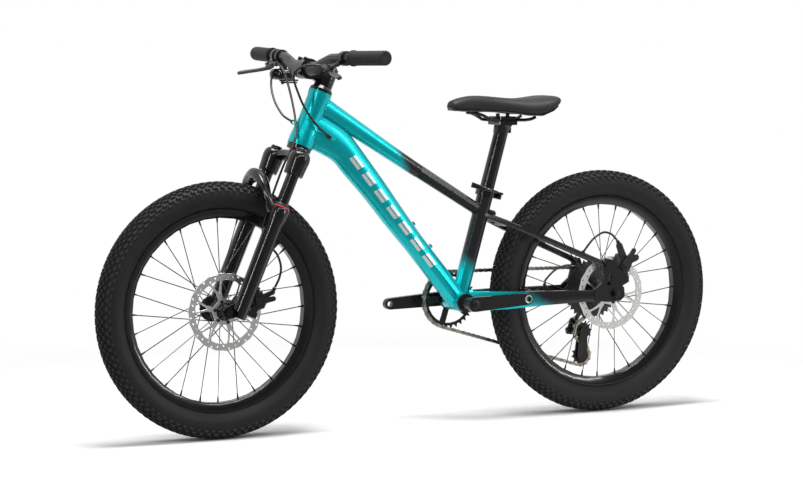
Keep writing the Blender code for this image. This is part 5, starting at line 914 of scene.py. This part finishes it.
def saddle_mesh(settings):
    """Return the padded cover: crowned, hollowed along the middle and drawn in at the sewn lines."""
    lip, crown, roundness = 0.0022, 0.62, 0.75
    hollow_start, hollow_length, hollow_width = 0.3, 0.62, 0.2
    seam_place, seam_width = 0.8, 0.022
    rows = saddle_rows(6)
    rings = []
    for number, (x, half, edge, top) in enumerate(rows):
        share = (number / (len(rows) - 1) - hollow_start) / hollow_length
        hollow = settings.groove * max(0.0, math.sin(math.pi * min(1.0, max(0.0, share))))
        seam = settings.seam if 2 < number < len(rows) - 3 else 0.0
        upper = []
        for step in range(1, 40):
            turn = math.pi * step / 40
            side = math.copysign(abs(math.cos(turn)) ** roundness, math.cos(turn))
            level = lip + (top - edge - lip) * math.sin(turn) ** crown
            level -= hollow * math.exp(-(side / hollow_width) ** 2)
            level -= seam * math.exp(-((abs(side) - seam_place) / seam_width) ** 2)
            upper.append((side, level))
        rise = 0.0044 + half * 0.1
        flank = 0.0034 + half * 0.075
        lower = [(-0.97, 0.0034), (-0.6, flank), (0.0, rise), (0.6, flank), (0.97, 0.0034)]
        points = [(1.012, 0.004)] + upper + [(-1.012, 0.004)] + lower
        rings.append([Vector((x, side * half, edge + level)) for side, level in points])
    return loft_mesh(rings)


class BIKE_OT_saddle(BikeOperator):
    """Make the padded saddle cover and the bolts of its clamp."""

    bl_idname = "bike.saddle"
    bl_label = "Saddle"

    def execute(self, context):
        cover = place_piece("saddle_padding", saddle_mesh(context.scene.bike_saddle), "saddle", "seat",
                            None, 60.0)
        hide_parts("saddle_cushion")
        bm = bmesh.new()
        # Place, heading and radius of each bolt
        bolts = (((-0.223, 0, 0.6544), UP, 0.0043), ((-0.199, 0, 0.6544), UP, 0.0043),
                 ((-0.2275, 0, 0.6176), -UP, 0.0036), ((-0.1945, 0, 0.6176), -UP, 0.0036))
        for place, axis, radius in bolts:
            add_bolt(bm, place, axis, radius, 0.003)
        place_piece("saddle_bolts", bm, "dark_steel", "seat")
        return {"FINISHED"}


def arch_mesh():
    """Return the rounded arch that joins the lower legs."""
    route = [(x, -y, z, deep, thick) for x, y, z, deep, thick in ARCH] + list(ARCH[-2::-1])
    spots = smooth_line([row[:3] for row in route], 5)
    sizes = smooth_line([(*row[3:], 0) for row in route], 5)
    rings = []
    for index, (spot, size) in enumerate(zip(spots, sizes)):
        along = heading_at(spots, index)
        side = (FORWARD - along * along.x).normalized()
        rings.append(ring_points(spot, side * size.x, along.cross(side) * size.y, 32, (0.62, 0.62)))
    return loft_mesh(rings)


def on_both_legs(profile, sides, closed=False):
    """Turn a profile round each leg of the fork."""
    bm = bmesh.new()
    for out in (-LEG_OUT, LEG_OUT):
        add_turned(bm, profile, STEER @ Matrix.Translation((LEG_AHEAD, out, 0)), sides, closed)
    return bm


class BIKE_OT_fork(BikeOperator):
    """Add rounded shoulders and arch, seals, wipers and caps to the fork."""

    bl_idname = "bike.fork"
    bl_label = "Fork details"

    def execute(self, context):
        place_piece("crown_shoulders", on_both_legs(SHOULDER, 48), "gloss", "steering",
                    None, 50.0)
        place_piece("fork_arch", arch_mesh(), "gloss", "lower_fork", STEER, 60.0)
        place_piece("fork_red_seals", on_both_legs(SEAL, 40, True), "seal", "lower_fork")
        place_piece("fork_wipers", on_both_legs(WIPER, 40, True), "plastic", "lower_fork")
        place_piece("fork_caps", on_both_legs(CAP, 40), "gloss", "steering")
        return {"FINISHED"}


class BIKE_OT_cockpit(BikeOperator):
    """Add the bolts of stem and levers, and the shifter's rounded pod."""

    bl_idname = "bike.cockpit"
    bl_label = "Cockpit details"

    def execute(self, context):
        bolts = bmesh.new()
        face, out, rise, stem_top = 0.0656, 0.0135, 0.0165, 0.5566
        for y in (-out, out):
            for z in (BAR_HEIGHT - rise, BAR_HEIGHT + rise):
                add_bolt(bolts, STEER @ Vector((face, y, z)), STEER_FORWARD, 0.0038, 0.0026)
        add_bolt(bolts, STEER @ Vector((0, 0, stem_top)), STEER_UP, 0.0052, 0.0026)
        down = BAR.to_3x3() @ LEVER_DOWN
        for side in (-1, 1):
            pivot = BAR @ Vector((LEVER_PIVOT.x, side * LEVER_PIVOT.y, LEVER_PIVOT.z))
            add_bolt(bolts, pivot - down * 0.0101, -down, 0.0034, 0.0022)
        place_piece("cockpit_bolts", bolts, "dark_steel", "steering")
        back, half_length, half_width = 0.015, 0.0242, 0.0268
        rings = []
        for level, share in POD_LEVELS:
            centre = BAR @ Vector((-back, -LEVER_PIVOT.y, level))
            deep, wide = FORWARD * half_length * share, LEFT * half_width * share
            rings.append(ring_points(centre, deep, wide, 40, (0.66, 0.66)))
        place_piece("shifter_pod", loft_mesh(rings), "gloss", "steering", None, 50.0)
        return {"FINISHED"}


def lever_mouth(side):
    """Return the two points of a lever's cable mouth, for side 1 on the left and side -1 on the right."""
    # The mouth lies inward of the lever's pivot, a little behind and above it
    back, rise, near, far = 0.004, 0.0068, 0.0369, 0.0439
    mouth = [LEVEL @ (LEVER_PIVOT - LEFT * inward - LEVER_FORWARD * back - LEVER_DOWN * rise)
             for inward in (near, far)]
    return tuple((point.x, side * point.y, point.z) for point in mouth)


class BIKE_OT_cables(BikeOperator):
    """Lay the five stretches of cable."""

    bl_idname = "bike.cables"
    bl_label = "Cables"

    def execute(self, context):
        lines = (
            # node, points, the axes they are in, and the bodies at both ends
            ("rear_brake_cable_front", lever_mouth(1) + REAR_BRAKE_FRONT, STEER, "steering", "chassis"),
            ("shift_cable_front", SHIFT_FRONT, STEER, "steering", "chassis"),
            ("front_brake_cable", lever_mouth(-1) + FRONT_BRAKE, STEER, "steering", "lower_fork"),
            ("rear_brake_cable_rear", REAR_BRAKE_TAIL, WHEELS["rear"], "chassis", None),
            ("shift_cable_rear", SHIFT_TAIL, WHEELS["rear"], "chassis", None))
        for node, points, axes, body, far in lines:
            path = smooth_line([axes @ Vector(point) for point in points], 5)
            bm = bmesh.new()
            add_tube(bm, path, CABLE_RADIUS)
            piece = place_piece(node + "_sleeve", bm, "cable", None if far else body)
            if far:
                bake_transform(piece)
            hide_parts(node)
        return {"FINISHED"}


def chain_pins():
    """Return the chain's pins in order, as the middles of its blocks."""
    spots = {}
    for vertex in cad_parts["chain"].data.vertices:
        spots.setdefault(tuple(round(value, 5) for value in vertex.co), vertex.co)
    left = list(spots.values())
    groups = []
    block = 0.0048
    while left:
        group = [left.pop()]
        for point in group:
            near = [spot for spot in left if math.hypot(spot.x - point.x, spot.z - point.z) < block]
            group += near
            left = [spot for spot in left if spot not in near]
        groups.append(sum(group, Vector()) / len(group))
    pins = [groups.pop()]
    while groups:
        pins.append(groups.pop(min(range(len(groups)), key=lambda i: (groups[i] - pins[-1]).length)))
    return pins


def link_outline(length):
    """Return a link plate's outline round two pins."""
    points = []
    for side in (1, -1):
        for degrees in range(-96, 97, 32):
            x, z = polar(PLATE_END, degrees)
            points.append((side * (length / 2 + x), side * z))
        points.append((0.0, side * PLATE_WAIST))
    return points


class BIKE_OT_chain(BikeOperator):
    """Build the chain link by link."""

    bl_idname = "bike.chain"
    bl_label = "Chain"

    def execute(self, context):
        pins = chain_pins()
        bm = bmesh.new()
        for index, (pin, after) in enumerate(zip(pins, pins[1:] + pins[:1])):
            along = (after - pin).normalized()
            side = (LEFT - along * LEFT.dot(along)).normalized()
            up = along.cross(side)
            centre = (pin + after) / 2
            outline = link_outline((after - pin).length)
            for place in (-1, 1):
                rings = []
                for depth, grow in PLATE_LEVELS:
                    middle = centre + side * place * (PLATE_OUT[index % 2] + depth)
                    rings.append([middle + along * x * (0.5 + grow / 2) + up * z * grow for x, z in outline])
                add_loft(bm, rings)
            hinge = Matrix.Translation(pin) @ turn_to(side)
            for radius, half in ROLLERS:
                add_turned(bm, ((radius, -half), (radius, half)), hinge, 10)
        piece = place_piece("chain_links", to_mesh(bm, False), "chain", "chassis")
        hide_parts("chain")
        return {"FINISHED"}


class BIKE_OT_drivetrain(BikeOperator):
    """Add the pedal eyes' bright edges, the crank bolts and the chainring bolts."""

    bl_idname = "bike.drivetrain"
    bl_label = "Drivetrain details"

    def execute(self, context):
        rings, bolts = bmesh.new(), bmesh.new()
        for side in (-1, 1):
            outward = LEFT * side
            facing = turn_to(outward)
            eye = BRACKET - spoke_way(-CRANK_TURN) * side * CRANK_LENGTH + outward * CRANK_FACE
            add_turned(rings, PEDAL_EYE, Matrix.Translation(eye) @ facing, 40, True)
            hub = BRACKET + outward * (CRANK_FACE + 0.0001)
            add_turned(bolts, CRANK_WASHER, Matrix.Translation(hub) @ facing)
            add_bolt(bolts, hub + outward * 0.0006, outward, 0.0056, 0.0018)
        place_piece("pedal_eye_rings", rings, "steel", "crankset")
        bolt_circle, chainring_face = 0.046, 0.044
        for index in range(5):
            x, z = polar(bolt_circle, 72 * index + 2)
            add_bolt(bolts, BRACKET + Vector((x, -chainring_face, z)), -LEFT, 0.0044, 0.002)
        place_piece("crank_bolts", bolts, "dark_steel", "crankset")
        return {"FINISHED"}


def top_tube_mesh():
    """Return the top tube's deeper front, which runs out into the round tube."""
    along = (TOP_SEAT - TOP_HEAD).normalized()
    up = along.cross(-LEFT)
    reach, deeper, cover, steps = 0.62, 0.0068, 0.0004, 24
    rings = []
    for step in range(steps + 1):
        share = reach * step / steps
        for (low, first), (high, second) in zip(TOP_RADII, TOP_RADII[1:]):
            if low <= share <= high:
                radius = first + (second - first) * (share - low) / (high - low) + cover
        fall = share / reach
        extra = deeper * (1 - fall * fall * (3 - 2 * fall))
        centre = TOP_HEAD.lerp(TOP_SEAT, share) + up * extra / 2
        wide, high = LEFT * (radius + 0.08 * extra), up * (radius + extra / 2)
        rings.append(ring_points(centre, wide, high, 40, (0.96, 0.96)))
    return loft_mesh(rings)


def throat_mesh():
    """Return the down tube's formed head, with smooth rings between the set ones."""
    upper, lower = (smooth_line([(row[edge][0], 0, row[edge][1]) for row in THROAT], 4) for edge in (0, 1))
    widths = smooth_line([(0, row[2], 0) for row in THROAT], 4)
    return loft_mesh([ring_points((high + low) / 2, wide, (high - low) / 2, 36, (0.92, 1.0))
                      for high, low, wide in zip(upper, lower, widths)])


def head_wall(height):
    """Return the radius of the head tube's wall at a height in the steerer's axes."""
    radius, flare, flare_top, flare_length = 0.0239, 0.004, 0.433, 0.037
    return radius + flare * min(1.0, max(0.0, (flare_top - height) / flare_length))


def on_tube(point, heading, foot, axis, radius_at):
    """Carry a point along a heading to the wall of a round tube, or return nothing if it misses the tube."""
    reach = radius_at(0.0)
    for repeat in range(3):
        gap = point - foot
        flat, run = gap - axis * gap.dot(axis), heading - axis * heading.dot(axis)
        a, b, c = run.dot(run), flat.dot(run), flat.dot(flat) - reach * reach
        root = b * b - a * c
        if root < 0:
            return None
        spot = point + heading * ((-b - math.sqrt(root)) / a)
        reach = radius_at((spot - foot).dot(axis))
    return spot


def add_bead(bm, start, heading, wide, high, carrier, radius=0.0015):
    """Lay a rippled weld bead where an oval tube meets a round one, which is given by matrix and radius."""
    matrix, radius_at = carrier
    foot, axis = matrix.translation, matrix.to_3x3() @ UP
    ring = [on_tube(point, heading, foot, axis, radius_at)
            for point in ring_points(start, LEFT * wide, heading.cross(LEFT) * high, 40)]
    ring = [point for point in ring if point]
    loop = []
    for point, after in zip(ring, ring[1:] + ring[:1]):
        count = max(1, round((after - point).length / 0.0014))
        loop += [point.lerp(after, step / count) for step in range(count)]
    middle = sum(ring, Vector()) / len(ring)
    rings = []
    for index, point in enumerate(loop):
        along = (loop[(index + 1) % len(loop)] - loop[index - 1]).normalized()
        out = (point - middle).normalized()
        out = (out - along * out.dot(along)).normalized()
        size = radius * (1.12 if index % 2 else 0.9)
        rings.append(ring_points(point, out * size, along.cross(out) * size, 8))
    add_loft(bm, rings + [rings[0]], False)


class BIKE_OT_frame_details(BikeOperator):
    """Add the formed heads of down tube and top tube, weld beads, cable grommets and bottle bolts."""

    bl_idname = "bike.frame_details"
    bl_label = "Frame details"

    def execute(self, context):
        place_piece("down_tube_head", throat_mesh(), "paint", "chassis")
        place_piece("top_tube_head", top_tube_mesh(), "paint", "chassis")

        welds = bmesh.new()
        # A bead starts as an oval a little way off the joint, and is carried along its tube to the wall
        head_tube, seat_tube = (STEER, head_wall), (SEAT, lambda height: SEAT_TUBE_RADIUS)
        along = (TOP_HEAD - TOP_SEAT).normalized()
        start = TOP_HEAD - along * 0.06 + Vector((-along.z, 0, along.x)) * 0.003
        add_bead(welds, start, along, 0.0182, 0.0206, head_tube)
        (x, z), (lower_x, lower_z), wide = THROAT[1]
        high, low, head_middle = Vector((x, 0, z)), Vector((lower_x, 0, lower_z)), Vector((0.25, 0, 0.637))
        middle, tall = (low + high) / 2, (high - low).length / 2
        heading = (head_middle - middle).normalized()
        add_bead(welds, middle - heading * 0.03, heading, wide - 0.0004, tall * 0.97, head_tube)
        add_bead(welds, TOP_SEAT + along * 0.05, -along, 0.0131, 0.0131, seat_tube, 0.0013)
        place_piece("frame_welds", welds, "paint", "chassis")

        grommets = bmesh.new()
        # Where each front cable enters the frame, and the point before it
        for end, before in (((0.211, 0.027, 0.616), (0.24, 0.033, 0.637)),
                            ((0.2765, -0.015, 0.6465), (0.2895, -0.03, 0.658))):
            outward = (Vector(before) - Vector(end)).normalized()
            matrix = Matrix.Translation(Vector(end) - outward * 0.001) @ turn_to(outward)
            add_turned(grommets, GROMMET, matrix, 20, True)
        place_piece("cable_grommets", grommets, "plastic", "chassis")
        bolts = bmesh.new()
        # The bottle bolts stand square to the line through both of them
        high, low = Vector((0.00425, 0.0, 0.42709)), Vector((-0.03666, 0.0, 0.37788))
        run = (high - low).normalized()
        out = Vector((-run.z, 0, run.x))
        for spot in (high, low):
            add_bolt(bolts, spot + out * 0.0002, out, 0.0046, 0.0028)
        place_piece("bottle_bolts", bolts, "dark_steel", "chassis")
        return {"FINISHED"}


def add_lamp(name, place, aim, size, power):
    """Add a large soft lamp."""
    data = bpy.data.lights.new(name, "AREA")
    data.shape = "RECTANGLE"
    data.size, data.size_y = size
    data.energy = power
    lamp = bpy.data.objects.new(name, data)
    lamp.location = place
    lamp.rotation_mode = "QUATERNION"
    lamp.rotation_quaternion = (Vector(aim) - Vector(place)).to_track_quat("-Z", "Y")
    bpy.context.scene.collection.objects.link(lamp)


class BIKE_OT_studio(BikeOperator):
    """Make camera, lamps, floor and the white room."""

    bl_idname = "bike.studio"
    bl_label = "Studio"

    def execute(self, context):
        settings = context.scene.bike_studio
        data = bpy.data.cameras.new("camera")
        data.sensor_width = SENSOR
        data.lens = SENSOR * FOCAL_SHARE
        data.clip_end = 100.0
        camera = bpy.data.objects.new("camera", data)
        heading, tilt, roll = (Matrix.Rotation(turn, 4, axis) for turn, axis in zip(CAMERA_TURNS, "ZXZ"))
        camera.matrix_world = Matrix.Translation(CAMERA) @ heading @ tilt @ roll
        context.scene.collection.objects.link(camera)
        context.scene.camera = camera
        context.scene.view_settings.view_transform = "Standard"

        # The floor keeps the bike's shadow, and turns plain white further out. In reflections its near side
        # is painted dark, a painted shade that stands in for a dark room.
        bpy.ops.mesh.primitive_plane_add(size=60)
        floor = context.object
        floor.name = "studio_floor"
        made = Finish("studio_floor", settings.floor, 0.9)
        rays = made.node("ShaderNodeLightPath").outputs
        glow = made.node("ShaderNodeEmission", {}, {"Color": WHITE, "Strength": 1.0})
        near = (made.x * NEAR_SIDE.x + made.y * NEAR_SIDE.y).rise(-0.05, 0.65) * settings.dark
        mirrored = Signal(made, rays["Is Glossy Ray"])
        seen = Signal(made, rays["Is Camera Ray"]).most(mirrored * (1 - near))
        far = ((made.x ** 2.0 + made.y ** 2.0) ** 0.5).rise(0.9, 1.7)
        lit = made.mix(opaque(settings.floor), opaque((0.9, 0.9, 0.9)), seen)
        # Painted shade: in reflections the floor turns near black on the camera's side.
        made.feed("Base Color", made.mix(lit, opaque((0.02, 0.02, 0.02)), mirrored * near))
        layers = {0: seen * far, 1: made.shader.outputs[0], 2: glow.outputs[0]}
        both = made.node("ShaderNodeMixShader", {}, layers)
        made.join(both.outputs[0], made.tree.nodes["Material Output"].inputs["Surface"])
        floor.data.materials.append(made.material)

        # The room looks white to the camera and darker on its near side in reflections, and lights the bike
        world = bpy.data.worlds.new("studio_room")
        world.use_nodes = True
        context.scene.world = world
        room = Nodes(world.node_tree)
        back = room.tree.nodes["Background"]
        rays = room.node("ShaderNodeLightPath").outputs
        x, y, z = room.parts(room.node("ShaderNodeTexCoord").outputs["Generated"])
        toward = x * NEAR_SIDE.x + y * NEAR_SIDE.y + z * NEAR_SIDE.z
        looked, passed, mirrored = (Signal(room, rays["Is " + kind + " Ray"])
                                    for kind in ("Camera", "Transmission", "Glossy"))
        seen = looked.most(passed).most(mirrored * (1 - toward.rise(0.1, 0.65) * settings.dark))
        room.join(WHITE, back.inputs["Color"])
        room.join(seen.most(settings.room), back.inputs["Strength"])

        for name, place, aim, size, strength in LAMPS:
            add_lamp(name, place, aim, size, getattr(settings, strength))
        return {"FINISHED"}


class BIKE_PT_panel(bpy.types.Panel):
    """Settings and steps of the bike."""

    bl_idname = "BIKE_PT_panel"
    bl_label = "Kids mountain bike"
    bl_space_type = "VIEW_3D"
    bl_region_type = "UI"
    bl_category = "Bike"

    def draw(self, context):
        for name, kind in SETTINGS.items():
            for label in kind.__annotations__:
                self.layout.prop(getattr(context.scene, name), label)
        for operator in OPERATORS:
            self.layout.operator(operator.bl_idname)


SETTINGS = {"bike_paint": PaintSettings, "bike_wheels": WheelSettings, "bike_saddle": SaddleSettings,
            "bike_studio": StudioSettings}
OPERATORS = (
    BIKE_OT_studio, BIKE_OT_finishes, BIKE_OT_cables, BIKE_OT_tyres, BIKE_OT_rotors, BIKE_OT_nipples,
    BIKE_OT_saddle, BIKE_OT_fork, BIKE_OT_cockpit, BIKE_OT_chain, BIKE_OT_drivetrain, BIKE_OT_frame_details)


def register():
    """Register the classes and give the scene its settings."""
    for kind in tuple(SETTINGS.values()) + OPERATORS + (BIKE_PT_panel,):
        bpy.utils.register_class(kind)
    for name, kind in SETTINGS.items():
        setattr(bpy.types.Scene, name, bpy.props.PointerProperty(type=kind))


def unregister():
    """Take back what register did."""
    for name in SETTINGS:
        delattr(bpy.types.Scene, name)
    for kind in (BIKE_PT_panel,) + OPERATORS[::-1] + tuple(SETTINGS.values())[::-1]:
        bpy.utils.unregister_class(kind)


def main():
    """Run every step in order."""
    register()
    for operator in OPERATORS:
        group, name = operator.bl_idname.split(".")
        getattr(getattr(bpy.ops, group), name)()


if __name__ == "__main__":
    main()
